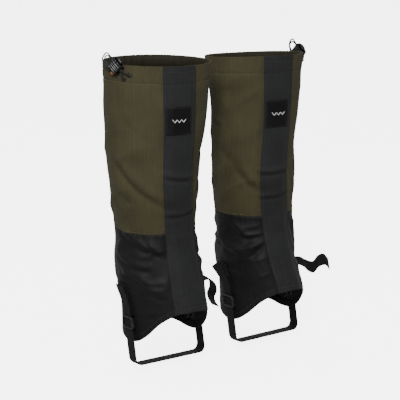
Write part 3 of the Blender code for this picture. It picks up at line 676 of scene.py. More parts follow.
def hook_and_loop():
    """Nylon hook-and-loop tape: a dense pile of tiny bristles, drawn coarse enough to show."""
    material, tree, shader = new_finish("black_nylon_hook_and_loop", Sheen_Weight=0.3, Sheen_Roughness=0.6)
    uv = add(tree, "ShaderNodeUVMap", uv_map="cloth").outputs[0]
    pile = add(tree, "ShaderNodeTexVoronoi", {"Vector": uv, "Scale": UV_MM / 1.1}).outputs[0]
    worn = blotch(tree, uv, 12.0)
    colour = add(tree, "ShaderNodeMix", {0: worn, 6: linear("#0C0C0D"), 7: linear("#252526")},
                 data_type="RGBA")
    relief = add(tree, "ShaderNodeBump", {"Height": pile, "Strength": 0.9, "Distance": 0.0006})
    join(tree, shader, Base_Color=colour.outputs[2], Normal=relief.outputs[0])
    shader.inputs["Roughness"].default_value = 0.85
    return material


def braided_cord():
    """Elastic cord in a braided polyester sheath: two sets of slanting strands over a rubber core, its colour
    painted lighter on the strands and darker between them as painted shade.
    """
    material, tree, shader = new_finish("black_braided_cord", Roughness=0.6, Sheen_Weight=0.15)
    uv = add(tree, "ShaderNodeUVMap", uv_map="cloth").outputs[0]
    bars = []
    for lean in (3.0, -3.0):
        strand = add(tree, "ShaderNodeSeparateXYZ", {0: uv})
        slant = add(tree, "ShaderNodeMath", {0: strand.outputs[1], 1: UV_MM / 2.4},
                    operation="MULTIPLY").outputs[0]
        slant = add(tree, "ShaderNodeMath", {0: strand.outputs[0], 1: lean, 2: slant},
                    operation="MULTIPLY_ADD")
        bars.append(add(tree, "ShaderNodeMath", {0: slant.outputs[0], 1: 0.5},
                        operation="PINGPONG").outputs[0])
    height = add(tree, "ShaderNodeMath", {0: bars[0], 1: bars[1]}, operation="MAXIMUM").outputs[0]
    # painted shade: the strands' height alone sets the colour, darker in the grooves between them
    shade_and_tone = add(tree, "ShaderNodeMapRange", {0: height, 1: 0.1, 2: 0.5}).outputs[0]
    colour = add(tree, "ShaderNodeMix", {0: shade_and_tone, 6: linear("#060607"), 7: linear("#1A1A1C")},
                 data_type="RGBA")
    relief = add(tree, "ShaderNodeBump", {"Height": height, "Strength": 0.8, "Distance": 0.0005})
    join(tree, shader, Base_Color=colour.outputs[2], Normal=relief.outputs[0])
    return material


def sewing_thread(name, dark, light):
    """Bonded polyester thread: twisted plies that catch a little light."""
    material, tree, shader = new_finish(name, Roughness=0.55, Sheen_Weight=0.1)
    place = add(tree, "ShaderNodeTexCoord").outputs["Object"]
    ply = add(tree, "ShaderNodeTexNoise",
              {"Vector": place, "Scale": 1 / (0.8 * MM), "Detail": 1.0}).outputs[0]
    colour = add(tree, "ShaderNodeMix", {0: ply, 6: dark, 7: light}, data_type="RGBA").outputs[2]
    join(tree, shader, Base_Color=colour)
    return material


def moulded(name, dark, light, roughness):
    """Moulded plastic or lacquer: an even colour with a fine spark-eroded grain, rubbed paler
    in places where it has been handled."""
    material, tree, shader = new_finish(name, IOR=1.48, Coat_Weight=0.08, Coat_Roughness=0.25)
    place = add(tree, "ShaderNodeTexCoord").outputs["Object"]
    spark = add(tree, "ShaderNodeTexNoise",
                {"Vector": place, "Scale": 1 / (0.45 * MM), "Detail": 2.0}).outputs[0]
    rub = add(tree, "ShaderNodeTexNoise", {"Vector": place, "Scale": 1 / (7 * MM), "Detail": 4.0}).outputs[0]
    worn = add(tree, "ShaderNodeMapRange", {0: rub, 1: 0.4, 2: 0.75}).outputs[0]
    colour = add(tree, "ShaderNodeMix", {0: worn, 6: dark, 7: light}, data_type="RGBA").outputs[2]
    dull = add(tree, "ShaderNodeMapRange", {0: rub, 3: roughness - 0.08, 4: roughness + 0.1}).outputs[0]
    relief = add(tree, "ShaderNodeBump", {"Height": spark, "Strength": 0.25, "Distance": 0.0002})
    join(tree, shader, Base_Color=colour, Roughness=dull, Normal=relief.outputs[0])
    return material


def drawn_metal(name, dark, light, roughness):
    """Drawn or pressed metal: fine scratches and slight tarnish, brighter where it is rubbed."""
    material, tree, shader = new_finish(name, Metallic=1.0)
    place = add(tree, "ShaderNodeTexCoord").outputs["Object"]
    tarnish = add(tree, "ShaderNodeTexNoise",
                  {"Vector": place, "Scale": 1 / (3 * MM), "Detail": 5.0}).outputs[0]
    scratch = add(tree, "ShaderNodeTexNoise",
                  {"Vector": place, "Scale": 1 / (0.4 * MM), "Detail": 3.0}).outputs[0]
    colour = add(tree, "ShaderNodeMix", {0: tarnish, 6: dark, 7: light}, data_type="RGBA").outputs[2]
    dull = add(tree, "ShaderNodeMapRange", {0: scratch, 3: roughness - 0.1, 4: roughness + 0.15}).outputs[0]
    relief = add(tree, "ShaderNodeBump", {"Height": scratch, "Strength": 0.15, "Distance": 0.0001})
    join(tree, shader, Base_Color=colour, Roughness=dull, Normal=relief.outputs[0])
    return material


FINISHES = {
    "olive": (olive_oxford, "olive_cloth"),
    "coated": (shaded_coated_back, "olive_cloth"),
    "black": (black_oxford, "black_cloth"),
    "strip": (strip_oxford, "flap_cloth"),
    "label": (label_satin, "label_cloth"),
    "webbing": (ribbed_webbing, "webbing"),
    "tape": (grosgrain, "binding_tape"),
    "elastic": (knitted_elastic, "elastic_band"),
    "pile": (hook_and_loop, "hook_and_loop_tape"),
    "cord": (braided_cord, "elastic_cord"),
    "lock": (lambda: moulded("black_acetal_lock", linear("#040405"), linear("#0E0E10"), 0.34),
             "lock_plastic"),
    "buckle": (lambda: moulded("black_acetal_slider", linear("#1B1B1C"), linear("#363638"), 0.34),
               "buckle_plastic"),
    "tag": (lambda: moulded("orange_vinyl_tag", linear("#8A5636"), linear("#B07C55"), 0.55), "tag_plastic"),
    "spring": (lambda: drawn_metal("spring_steel_wire", linear("#8E8E90"), linear("#C4C4C6"), 0.3),
               "spring_steel"),
    "hook": (lambda: drawn_metal("blackened_steel_wire", linear("#2A2A2A"), linear("#4A4A49"), 0.38),
             "hook_steel"),
    "eyelet": (lambda: moulded("olive_lacquered_brass_eyelet", linear("#23211A"), linear("#37342A"), 0.5),
               "eyelet_metal"),
    "olive_thread": (lambda: sewing_thread("olive_polyester_thread", linear("#4C4A36"), linear("#6A6850")),
                     "olive_cloth"),
    "black_thread": (lambda: sewing_thread("black_polyester_thread", linear("#1C1C1D"), linear("#3A3A3C")),
                     "black_cloth"),
    "white_thread": (lambda: sewing_thread("white_polyester_thread", linear("#C9C9C7"), linear("#F2F2F0")),
                     "label_cloth"),
}
made_finishes = {}


def dress(obj, finish, body, *nodes, across=None):
    """Give a piece its finish and the body it moves with, and hide the frame nodes it stands for. A piece
    that crosses a joint, given its two ends, has its place baked in and is attached to no body."""
    make, slot = FINISHES[finish]
    if finish not in made_finishes:
        made_finishes[finish] = make()
    obj.data.materials.append(made_finishes[finish])
    if across is None:
        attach(obj, body)
    else:
        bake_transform(obj)
    if nodes:
        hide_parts(*nodes)
    return obj


# ---- cloth panels ----

def half_grid(leg, way, low, high, start, spacing):
    """s and z over one half of the cloth, from its front edge round to the back seam, between
    two edges given as heights: each an even share of the way."""
    columns = int((leg.back_arc(300.0, way) - start) / spacing)
    middle = float(np.mean(high(np.array([60.0])) - low(np.array([60.0]))))
    rows = max(6, int(abs(middle) / spacing))
    part, rise = np.meshgrid(np.linspace(0, 1, columns + 1), np.linspace(0, 1, rows + 1))
    z = np.full(part.shape, SEAM_HEIGHT)
    for _ in range(4):
        s = start + (leg.back_arc(z, way) - start) * part
        z = low(s) + (high(s) - low(s)) * rise
    s = s * way
    return (s, z, rise) if way > 0 else (s[:, ::-1], z[:, ::-1], rise)


def whole_grid(leg, low, high, start, spacing):
    """s and z over a band from one front edge round the back to the other."""
    parts = [half_grid(leg, way, low, high, start, spacing) for way in (1, -1)]
    return [np.concatenate([a[:, :-1], b], axis=1) for a, b in zip(*parts)]


def make_panels(leg, spacing):
    """Four cloth panels of one gaiter: olive above, black below, outer and inner halves."""
    seam = lambda s: np.full(np.shape(s), SEAM_HEIGHT)
    for way in (leg.side, -leg.side):
        half = "outer" if way == leg.side else "inner"
        s, z, _ = half_grid(leg, way, lambda s: seam(s) + 0.05, leg.rim, OPENING_HALF, spacing)
        upper = layer(f"{leg.name}_upper_{half}_cloth", leg.cloth(s, z), (s, z), CLOTH)
        dress(upper, "olive", f"{leg.name}_gaiter", f"{leg.name}_upper_{half}_panel")
        reach = float(leg.back_arc(350.0, way)) - OPENING_HALF
        s, z, _ = half_grid(leg, way, hem, lambda s: seam(s) + 0.05, OPENING_HALF, spacing)
        lower = layer(f"{leg.name}_lower_{half}_cloth", leg.cloth(s, z), (s, z), CLOTH)
        dress(lower, "black", f"{leg.name}_gaiter", f"{leg.name}_lower_{half}_panel")
        reach = float(leg.back_arc(120.0, way)) - OPENING_HALF


def make_linings(leg, spacing):
    """What is sewn inside: the rim's tunnel, the ankle elastic, the hem binding and the tape
    over the back seam. The tunnel bellies out from its two sewn edges to hold the cord."""
    body = f"{leg.name}_gaiter"
    inside = -CLOTH - FACE_GAP
    s, z, rise = whole_grid(leg, lambda s: leg.rim(s) - CASING_HEIGHT, lambda s: leg.rim(s) - 1.5, 12.0,
                            spacing)
    off = inside - 0.1 - 4.5 * np.sin(np.pi * rise) ** 0.6
    tunnel = layer(f"{leg.name}_rim_tunnel", leg.cloth(s, z, off), (s, z), 0.7)
    # the tunnel's darker coated finish is partly painted shade of the inside of the rim
    dress(tunnel, "coated", body, f"{leg.name}_rim_casing")
    s, z, rise = whole_grid(leg, lambda s: s * 0 + ELASTIC_SPAN[0],
                            lambda s: s * 0 + ELASTIC_SPAN[1], LINING_START, spacing)
    off = inside - 2.0 - 0.6 * np.sin(np.pi * rise) - 0.3 * np.sin(2 * np.pi * s / 5.0)
    elastic = layer(f"{leg.name}_ankle_elastic_band", leg.cloth(s, z, off), (z, s), 1.0)
    dress(elastic, "elastic", body, f"{leg.name}_ankle_elastic")
    s, z, _ = whole_grid(leg, lambda s: hem(s) + HEM_TAPE_SPAN[0],
                         lambda s: hem(s) + HEM_TAPE_SPAN[1], LINING_START, spacing)
    binding = layer(f"{leg.name}_hem_tape", leg.cloth(s, z, inside - 0.1), (z, s), 0.7)
    dress(binding, "tape", body, f"{leg.name}_hem_binding")
    rise, across = np.meshgrid(np.arange(75.0, TAPE_TOP, spacing), np.linspace(-6, 6, 7), indexing="ij")
    s = leg.back_arc(rise, 1) + across
    tape = layer(f"{leg.name}_seam_tape", leg.point(s, rise, inside - 2.6), (across, rise), 0.6)
    dress(tape, "tape", body, f"{leg.name}_back_seam_tape")


# ---- front strip ----

def strip_half(leg, rise):
    """Half width of the front strip: it widens over its lowest two fifths."""
    top, low = leg.flap_half
    return low + (top - low) * np.clip(rise * 2.5, 0, 1)


def flap_lift(leg, s):
    """How far the strip stands off: low at its sewn edge, clear of two tapes further in."""
    from_edge = ease((leg.flap_half[0] - leg.side * s) / 16.0)
    return 1.6 + 2.9 * from_edge


def strip_grid(edges, low, high, spacing):
    """s and z over an upright strip between two edges given by the share of its height."""
    rows, columns = int(380 / spacing), max(3, int(abs(edges(1.0)[1] - edges(1.0)[0]) / spacing))
    part, rise = np.meshgrid(np.linspace(0, 1, columns + 1), np.linspace(0, 1, rows + 1))
    left, right = edges(rise)
    s = left + (right - left) * part
    return s, low(s) + (high(s) - low(s)) * rise, part, rise


def flap_turn(leg):
    """The two bodies that the flap's sewn edge joins, and the short way across that edge: from
    the straight hinge line into the flap, square to the line."""
    low = leg.point(leg.side * (leg.flap_half[1] + leg.hinge_shift), 100.0, 1.0)
    high = leg.point(leg.side * (leg.flap_half[0] + leg.hinge_shift), leg.rim_heights[0] - 4.0, 1.0)
    line = unit(high - low)
    inward = leg.point(0.0, 280.0, 0.0) - (low + high) / 2
    inward = unit(inward - line * inward.dot(line))
    middle = (low + high) / 2
    start, end = (middle - inward * 1.0) * MM, (middle + inward * 13.0) * MM
    return f"{leg.name}_gaiter", f"{leg.name}_flap", tuple(start), tuple(end)


def make_front(leg, spacing):
    """Underlap, hook tape and loop tape, and the flap with its label with a small zigzag."""
    name, inner = leg.name, -leg.side
    low = lambda s: hem(s) + 1.0
    s, z, _, _ = strip_grid(lambda r: (-29.0, 29.0), low, lambda s: leg.rim(s) - 31.0, spacing)
    placket = layer(f"{name}_underlap", leg.cloth(s, z, -2.8), (s, z), 0.8)
    dress(placket, "black", f"{name}_gaiter", f"{name}_placket")
    edges = sorted((inner * 9.5, inner * 21.5))
    for tape, body, off in (("hook_tape", "gaiter", 1.3), ("loop_tape", "flap", 2.6)):
        s, z, _, _ = strip_grid(lambda r: edges, low, lambda s: leg.rim(s) - 1.0, spacing)
        piece = layer(f"{name}_{tape}_strip", leg.cloth(s, z, off), (s, z), 0.7)
        dress(piece, "pile", f"{name}_{body}", f"{name}_{tape}")

    across = flap_turn(leg)
    s, z, part, rise = strip_grid(lambda r: (-strip_half(leg, r), strip_half(leg, r)), low,
                                  lambda s: leg.rim(s) + 0.5, spacing)
    rolled = 0.5 * (np.exp(-(part / 0.06) ** 2) + np.exp(-((1 - part) / 0.06) ** 2))
    flap = layer(f"{name}_front_strip", leg.cloth(s, z, flap_lift(leg, s) + rolled), (s, z), 1.1)
    dress(flap, "strip", None, f"{name}_front_flap", across=across)

    width, height = LABEL_SIZE
    top = leg.rim_heights[0] - leg.label_drop
    part, rise = np.meshgrid(np.linspace(-width / 2, width / 2, 28), np.linspace(0, height, 30))
    s, z = part + LABEL_SHIFT, top - height + rise
    crown = 0.35 * ease((width / 2 - np.abs(part)) / 3) * ease((height / 2 - np.abs(rise - height / 2)) / 3)
    label = layer(f"{name}_label", leg.cloth(s, z, flap_lift(leg, s) + 0.95 + crown), (s, z), 0.6)
    dress(label, "label", None, f"{name}_label_patch", across=across)

    steps = np.linspace(0, 1, 61)
    peak = np.abs(np.mod(steps * 3 + 0.5, 1) * 2 - 1)
    s, z = LABEL_SHIFT + MARK_WIDTH * (steps - 0.5), top - height / 2 + MARK_HEIGHT * (0.5 - peak)
    mark = rod(f"{name}_label_zigzag", leg.cloth(s, z, flap_lift(leg, s) + LABEL_FACE), 0.55, sides=6)
    dress(mark, "white_thread", None, across=across)


# ---- stitching ----

def seam_run(leg, s, z, off):
    """A line on the cloth, with the way out of the cloth at each point."""
    here = leg.cloth(s, z, off)
    return here, leg.point(s, z, 1.0) - leg.point(s, z, 0.0)


def make_stitching(leg):
    """Rows of stitches: the rim's tunnel, the colour seam, the hem, the back seam, both edges and both ends
    of the front strip, and round the label. The boxes that hold the webbing are sewn with the tabs."""
    name, body = leg.name, f"{leg.name}_gaiter"
    around = [way * np.arange(33.0, 208.0, 1.5) for way in (1, -1)]
    rim_rows = [seam_run(leg, s, leg.rim(s) - CASING_HEIGHT + 0.5, PANEL_THREAD) for s in around]
    seam_rows = [seam_run(leg, s, s * 0 + SEAM_HEIGHT + SEAM_ROW, PANEL_THREAD) for s in around]
    dress(stitches(f"{name}_olive_stitches", rim_rows + seam_rows), "olive_thread", body)
    hem_rows = [seam_run(leg, s, hem(s) + EDGE_ROW, PANEL_THREAD) for s in around]
    heights = (np.arange(66.0, 212.0, 2.0), np.arange(220.0, 446.0, 2.0))
    below, above = ([seam_run(leg, (leg.back_arc(z, way) - BACK_ROW) * way, z, PANEL_THREAD)
                     for way in (1, -1)] for z in heights)
    dress(stitches(f"{name}_black_stitches", hem_rows + below), "black_thread", body)
    dress(stitches(f"{name}_back_seam_stitches", above), "olive_thread", body)

    rise = np.linspace(0.01, 0.99, 240)
    rows = []
    for edge in (-1, 1):
        s = edge * (strip_half(leg, rise) - STRIP_ROW)
        z = hem(s) + 1.0 + (leg.rim(s) - hem(s)) * rise
        rows.append(seam_run(leg, s, z, flap_lift(leg, s) + STRIP_THREAD))
    low_end = np.linspace(-20, 20, 30)
    rows.append(seam_run(leg, low_end, hem(low_end) + EDGE_ROW, flap_lift(leg, low_end) + STRIP_THREAD))
    rows.append(seam_run(leg, low_end, leg.rim(low_end) - EDGE_ROW, flap_lift(leg, low_end) + STRIP_THREAD))
    across = flap_turn(leg)
    dress(stitches(f"{name}_strip_stitches", rows), "black_thread", None, across=across)
    width, height = LABEL_SIZE[0] - 3.2, LABEL_SIZE[1] - 3.2
    top = leg.rim_heights[0] - leg.label_drop - 1.6
    side = np.linspace(0, 1, 20)
    box = [(side - 0.5, side * 0), (side * 0 + 0.5, side), (0.5 - side, side * 0 + 1),
           (side * 0 - 0.5, 1 - side)]
    rows = []
    for u, v in box:
        s = u * width + LABEL_SHIFT
        rows.append(seam_run(leg, s, top - v * height, flap_lift(leg, s) + 1.35))
    dress(stitches(f"{name}_label_stitches", rows, 2.0, 0.7, 0.22), "black_thread", None, across=across)


# ---- cord lock and drawcord ----

def lock_frame(leg):
    """Centre of the lock and its directions: along the cord, along the plunger, outwards."""
    s, z = leg.side * 95.0, leg.rim(95.0) - 1.0
    centre = leg.point(s, z, 8.0)
    outward = leg.point(s, z, 9.0) - centre
    level = np.cross([0.0, 0.0, 1.0], outward) * leg.side
    turn = math.radians(LOCK_TURN)
    up = np.array([0.0, 0.0, 1.0])
    return (centre, level * math.cos(turn) + up * math.sin(turn),
            up * math.cos(turn) - level * math.sin(turn), outward)


def turned_box(name, centre, axes, half_long, half_thick, profile, power=0.45, around=56, rib=None):
    """A body like a turned one but with an oval of the power for its circle. The
    profile gives, going over the piece, its share of the full width and its height."""
    share, height = np.array(profile, float).T
    turn = np.linspace(0, 2 * np.pi, around, endpoint=False)
    wide, deep = oval(turn, power, power)
    wide, deep = wide * half_long, deep * half_thick
    flat = (np.asarray(axes[0])[None, None] * (share[:, None, None] * wide[None, :, None])
            + np.asarray(axes[2])[None, None] * (share[:, None, None] * deep[None, :, None]))
    if rib is not None:
        flat = flat * (1 + rib(height, turn))[..., None]
    points = centre + flat + np.asarray(axes[1])[None, None] * height[:, None, None]
    quads = grid_quads(len(share), around, close_columns=True)
    obj = put_mesh(name, points.reshape(-1, 3), quads)
    if np.dot(np.cross(axes[2], axes[0]), axes[1]) > 0:
        obj.data.flip_normals()
    return obj


def make_lock(leg):
    """Barrel lock: a ribbed body open at its top, a domed button in it, and the spring below."""
    centre, cord, plunger, outward = lock_frame(leg)
    axes = (cord, plunger, outward)
    long, wide, thick = LOCK_BODY
    low, top = -wide / 2, wide / 2
    rise = np.linspace(low + 1.6, top - 1.0, 40)
    outer = [(1.0 - 0.02 * np.cos((h - low) / wide * np.pi), h) for h in rise]
    ribbed = wide / 2 - 2.0
    profile = [(0.01, low), (0.5, low), (0.8, low + 0.1), (0.93, low + 0.6), *outer,
               (0.985, top - 0.4), (0.94, top), (0.82, top - 0.1), (0.78, top - 0.8), (0.77, 0.0),
               (0.76, low + 2.5), (0.5, low + 1.9), (0.01, low + 1.9)]
    ribs = lambda h, turn: (0.09 * np.tanh(3 * np.cos(2 * np.pi * h / 3.4)) * (np.abs(h) < ribbed))[:, None] \
        + 0.03 * np.cos(20 * turn)[None]
    body = turned_box(f"{leg.name}_lock_barrel", centre, axes, long / 2, thick / 2, profile, 0.55, 72, ribs)
    dress(body, "lock", f"{leg.name}_cord_lock", f"{leg.name}_cord_lock_body")
    crown = np.linspace(0, np.pi / 2, 10)
    dome = [(0.25 + 0.75 * math.cos(a) if a < 1.5 else 0.01, top + 2.0 + 2.5 * math.sin(a)) for a in crown]
    stem = [(0.01, PLUNGER_FOOT), (0.9, PLUNGER_FOOT), (0.98, PLUNGER_FOOT + 0.6), (1.0, 2.0), (1.0, top)]
    button = turned_box(f"{leg.name}_lock_plunger", centre, axes, 6.2, 3.0,
                        stem + dome + [(0.01, top + 4.5)], 0.6, 48)
    dress(button, "lock", f"{leg.name}_lock_button", f"{leg.name}_cord_lock_button")
    angle = np.linspace(0, 6 * np.pi, 130)
    rise = np.linspace(low + 2.3, PLUNGER_FOOT - 0.65, len(angle))
    helix = (centre + np.cos(angle)[:, None] * 2.2 * cord + np.sin(angle)[:, None] * 2.2 * outward
             + rise[:, None] * plunger)
    spring = dress(rod(f"{leg.name}_lock_coil_spring", helix, 0.3, 6), "spring", f"{leg.name}_cord_lock",
                   f"{leg.name}_cord_lock_spring")
    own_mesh(spring)
    for number, way in enumerate((-1, 1)):
        lane = STRAND_LANE + (CORD_DIAMETER + FACE_GAP) / 2
        ring = np.linspace(0, 2 * np.pi, 40, endpoint=False)
        wide_way = plunger[None] * np.cos(ring)[:, None] * 3.6 + outward[None] * np.sin(ring)[:, None] * 2.2
        rim = centre + plunger * lane + cord * way * (long / 2 - 0.1) + wide_way
        dress(rod(f"{leg.name}_lock_mouth_{number}", rim, 0.6, 8, closed=True),
              "lock" if way < 0 else "spring", f"{leg.name}_cord_lock")


def eyelet_spots(leg):
    """Where the two strands leave the cloth, with the way each points."""
    rim = leg.rim(82.0)
    for s, z in ((76.0, rim - 15.0), (86.0, rim - 21.0)):
        centre = leg.point(leg.side * s, z, 0.0)
        yield centre, leg.point(leg.side * s, z, 1.0) - centre


def cord_parts(leg):
    """The cord's way in three stretches: from the front edge inside the rim to its eyelet, the
    free loop out through the lock, down to the tag and back, and inside round the back."""
    centre, cord, plunger, outward = lock_frame(leg)
    half_lock, side = LOCK_BODY[0] / 2, leg.side
    inside = -CLOTH - 2.0 - CORD_DIAMETER / 2
    lanes = (STRAND_LANE + CORD_DIAMETER + FACE_GAP, STRAND_LANE)

    def leave(spot, way, lane):
        into = centre + plunger * lane - cord * (half_lock + 2.5)
        return [spot - way * 1.2, spot + way * 3.0, spot * 0.45 + into * 0.55 + outward * 1.6, into,
                centre + plunger * lane, centre + plunger * lane + cord * (half_lock + 9.0)]

    (spot_a, way_a), (spot_b, way_b) = eyelet_spots(leg)
    front = [leg.point(side * s, leg.rim(s) - drop, inside)
             for s, drop in ((16.0, 14.0), (30.0, 13.0), (45.0, 13.0), (58.0, 14.0), (68.0, 15.0))]
    girth = sum(leg.back_arc(470.0, way) for way in (1, -1))
    behind = np.linspace(94.0, girth - 16.0, 34)
    drop = 14.0 + 6.0 * np.clip(1 - (behind - 94.0) / 25.0, 0, 1)
    wrapped = np.where(behind > leg.back_arc(470.0, side), behind - girth, behind)
    back = list(leg.point(side * wrapped, leg.rim(np.minimum(behind, girth - behind)) - drop, inside))
    loop = [centre + plunger * across + cord * (half_lock + along) + outward * off
            for across, along, off in CORD_LOOP]
    tip = loop[CORD_LOOP.index(LOOP_TIP)]
    route = front + leave(spot_a, way_a, lanes[0]) + loop + leave(spot_b, way_b, lanes[1])[::-1] + back
    path = smooth_path(np.array(route), 1.4)
    first = int(np.argmin(np.linalg.norm(path - spot_a, axis=1)))
    last = int(np.argmin(np.linalg.norm(path - spot_b, axis=1)))
    return path[:first + 1], path[first:last + 1], path[last:], tip, spot_a


def make_drawcord(leg):
    """Elastic drawcord, its two eyelets and the orange end tag."""
    name, body = leg.name, f"{leg.name}_gaiter"
    lead, loop, rest, tip, exit_at = cord_parts(leg)
    _, cord, plunger, outward = lock_frame(leg)
    free = dress(rod(f"{name}_drawcord_loop", loop, CORD_DIAMETER / 2, 12), "cord", body, f"{name}_drawcord")
    dress(rod(f"{name}_drawcord_front", lead, CORD_DIAMETER / 2, 10), "cord", body)
    dress(rod(f"{name}_drawcord_back", rest, CORD_DIAMETER / 2, 10), "cord", body)
    for label, (spot, way) in zip(("front", "back"), eyelet_spots(leg)):
        across = unit(np.cross(way, [0.0, 0.0, 1.0]))
        up = np.cross(across, way)
        ring = np.linspace(0, 2 * np.pi, 40, endpoint=False)
        circle = across[None] * np.cos(ring)[:, None] + up[None] * np.sin(ring)[:, None]
        shape = [(2.3, -1.3), (2.2, 0.4), (2.5, 1.0), (3.3, 1.35), (4.2, 1.1), (4.7, 0.45), (4.5, 0.1),
                 (3.2, -0.1), (3.0, -1.3)]
        radius, height = np.array(shape).T
        points = spot + circle[None] * radius[:, None, None] + way[None, None] * height[:, None, None]
        quads = grid_quads(len(shape), 40, close_rows=True, close_columns=True)
        grommet = put_mesh(f"{name}_grommet_{label}", points.reshape(-1, 3), quads)
        dress(grommet, "eyelet", body, f"{name}_eyelet_{label}")
    wide, high, thick = TAG_SIZE
    tag = tip - cord * (CORD_DIAMETER / 2 + FACE_GAP + high / 2)
    shape = [(0.01, -0.5), (0.7, -0.5), (0.93, -0.44), (1.0, -0.32), (1.0, 0.32), (0.93, 0.44),
             (0.7, 0.5), (0.01, 0.5)]
    shape = [(share, height * high) for share, height in shape]
    end = turned_box(f"{name}_end_tag", tag, (plunger, cord, outward), wide / 2, thick / 2, shape, 0.35, 40)
    dress(end, "tag", body, f"{name}_cord_end_tag")
    float(run_length(loop)[-1]) * MM


# ---- webbing and sliders ----

def side_spot(leg, way):
    """Middle of the side strap's run, level with the slider."""
    spot = leg.point(way * SIDE_ARC, LEAN_HEIGHT, 4.6)
    back = leg.point(way * SIDE_ARC, BUCKLE_HEIGHT, 0.0)
    return np.array([spot[0], back[1], BUCKLE_HEIGHT])


def lean(points):
    """Shift points forward the lower they are, so the side straps slope."""
    points = np.array(points, float)
    points[..., 1] += STRAP_LEAN * (points[..., 2] - BUCKLE_HEIGHT)
    return points


def make_slider(leg, way, label):
    """Two-slot slider: a rounded rectangle of oval bar, deep at its sides and thin before the
    strap at top and bottom, with a ribbed bar across behind it."""
    spot = side_spot(leg, way)
    long, tall, deep = BUCKLE_SIZE
    out = np.array([way, 0.0, 0.0])
    turn = np.linspace(0, 2 * np.pi, 120, endpoint=False)
    y, z = oval(turn, 0.3, 0.3)
    y, z = y * (long / 2 - 1.1), z * (tall / 2 - 1.5)
    at_side = ease((np.abs(y) - (long / 2 - 3.4)) / 2.0)
    half_deep = 0.75 + (deep / 2 - 0.75) * at_side
    centre_deep = 1.85 * (1 - at_side)
    line = spot + np.stack([out[0] * centre_deep, y, z], -1)
    ahead = np.roll(line, -1, axis=0) - np.roll(line, 1, axis=0)
    ahead[:, 0] = 0
    inward = np.cross(ahead, [1.0, 0.0, 0.0])
    inward /= np.linalg.norm(inward, axis=1, keepdims=True)
    around = np.linspace(0, 2 * np.pi, 20, endpoint=False)
    c, d = oval(around, 0.6, 0.6)
    flank = (1.5 - 0.4 * at_side)[:, None, None]
    points = (line[:, None] + inward[:, None] * c[None, :, None] * flank
              + out[None, None] * (d[None, :, None] * half_deep[:, None, None]))
    quads = grid_quads(len(turn), len(around), close_rows=True, close_columns=True)
    ring = put_mesh(f"{leg.name}_{label}_slider", lean(points).reshape(-1, 3), quads)
    shape = np.linspace(-1, 1, 60)
    bar = spot + np.stack([shape * 0 - out[0] * 1.85, shape * (long / 2 - 1.6), shape * 0], -1)
    rib = 0.12 * np.cos(shape * 60)
    profile = np.linspace(0, 2 * np.pi, 16, endpoint=False)
    bar_out = np.sin(profile)[None, :, None] * (0.75 + rib[:, None, None])
    bar_up = np.cos(profile)[None, :, None] * (1.5 + rib[:, None, None])
    bars = bar[:, None] + out[None, None] * bar_out + np.array([0, 0, 1.0])[None, None] * bar_up
    grip = put_mesh(f"{leg.name}_{label}_slider_bar", lean(bars).reshape(-1, 3),
                    grid_quads(60, 16, close_columns=True))
    for piece in (ring, grip):
        fix_faces(piece)
    dress(ring, "buckle", f"{leg.name}_gaiter", f"{leg.name}_{label}_buckle")
    dress(grip, "buckle", f"{leg.name}_gaiter")


def make_tab(leg, way, label):
    """Webbing sewn on the ankle, down to the slider, its end turned under the slider's bar; and
    the box and cross of stitches that hold it."""
    def on_tab(u, v, lift=0.0):
        """A place on the tab's face from its share across and its height, and the way out."""
        arc = np.full(np.shape(v), way * SIDE_ARC)
        ahead = leg.point(arc, v, 1.0) - leg.point(arc, v, 0.0)
        side = np.stack([-ahead[..., 1], ahead[..., 0], np.zeros(np.shape(v))], -1)
        crown = TAB_CROWN * (1 - u**2) + lift
        spot = (leg.cloth(arc, v, TAB_CLEAR + WEBBING) + side * (u * WEBBING_WIDTH / 2)[..., None]
                + ahead * crown[..., None])
        spot[..., 1] += STRAP_LEAN * (v - LEAN_HEIGHT) * 0.5
        return spot, ahead

    low = BUCKLE_HEIGHT + BUCKLE_SIZE[1] / 2 + 1.0
    rise, across = np.meshgrid(np.linspace(low, TAB_TOP, 36), np.linspace(-1, 1, 15), indexing="ij")
    points, _ = on_tab(across, rise)
    tab = layer(f"{leg.name}_{label}_tab", points, (across * WEBBING_WIDTH / 2, rise), WEBBING, 0.4)
    dress(tab, "webbing", f"{leg.name}_gaiter", f"{leg.name}_{label}_webbing_tab")

    t = np.linspace(0, 1, 24)
    left, right, bottom, top = -0.78, 0.78, 110.0, 128.0
    corners = {"low left": (left, bottom), "low right": (right, bottom), "high right": (right, top),
               "high left": (left, top)}
    runs = (("low left", "low right"), ("low right", "high right"), ("high right", "high left"),
            ("high left", "low left"), ("low left", "high right"), ("high left", "low right"))
    lines = [[a + (b - a) * t for a, b in zip(corners[start], corners[end])] for start, end in runs]
    box = stitches(f"{leg.name}_{label}_tab_stitches", [on_tab(u, v, STRIP_THREAD) for u, v in lines],
                   2.2, 0.7, 0.3)
    dress(box, "black_thread", f"{leg.name}_gaiter")


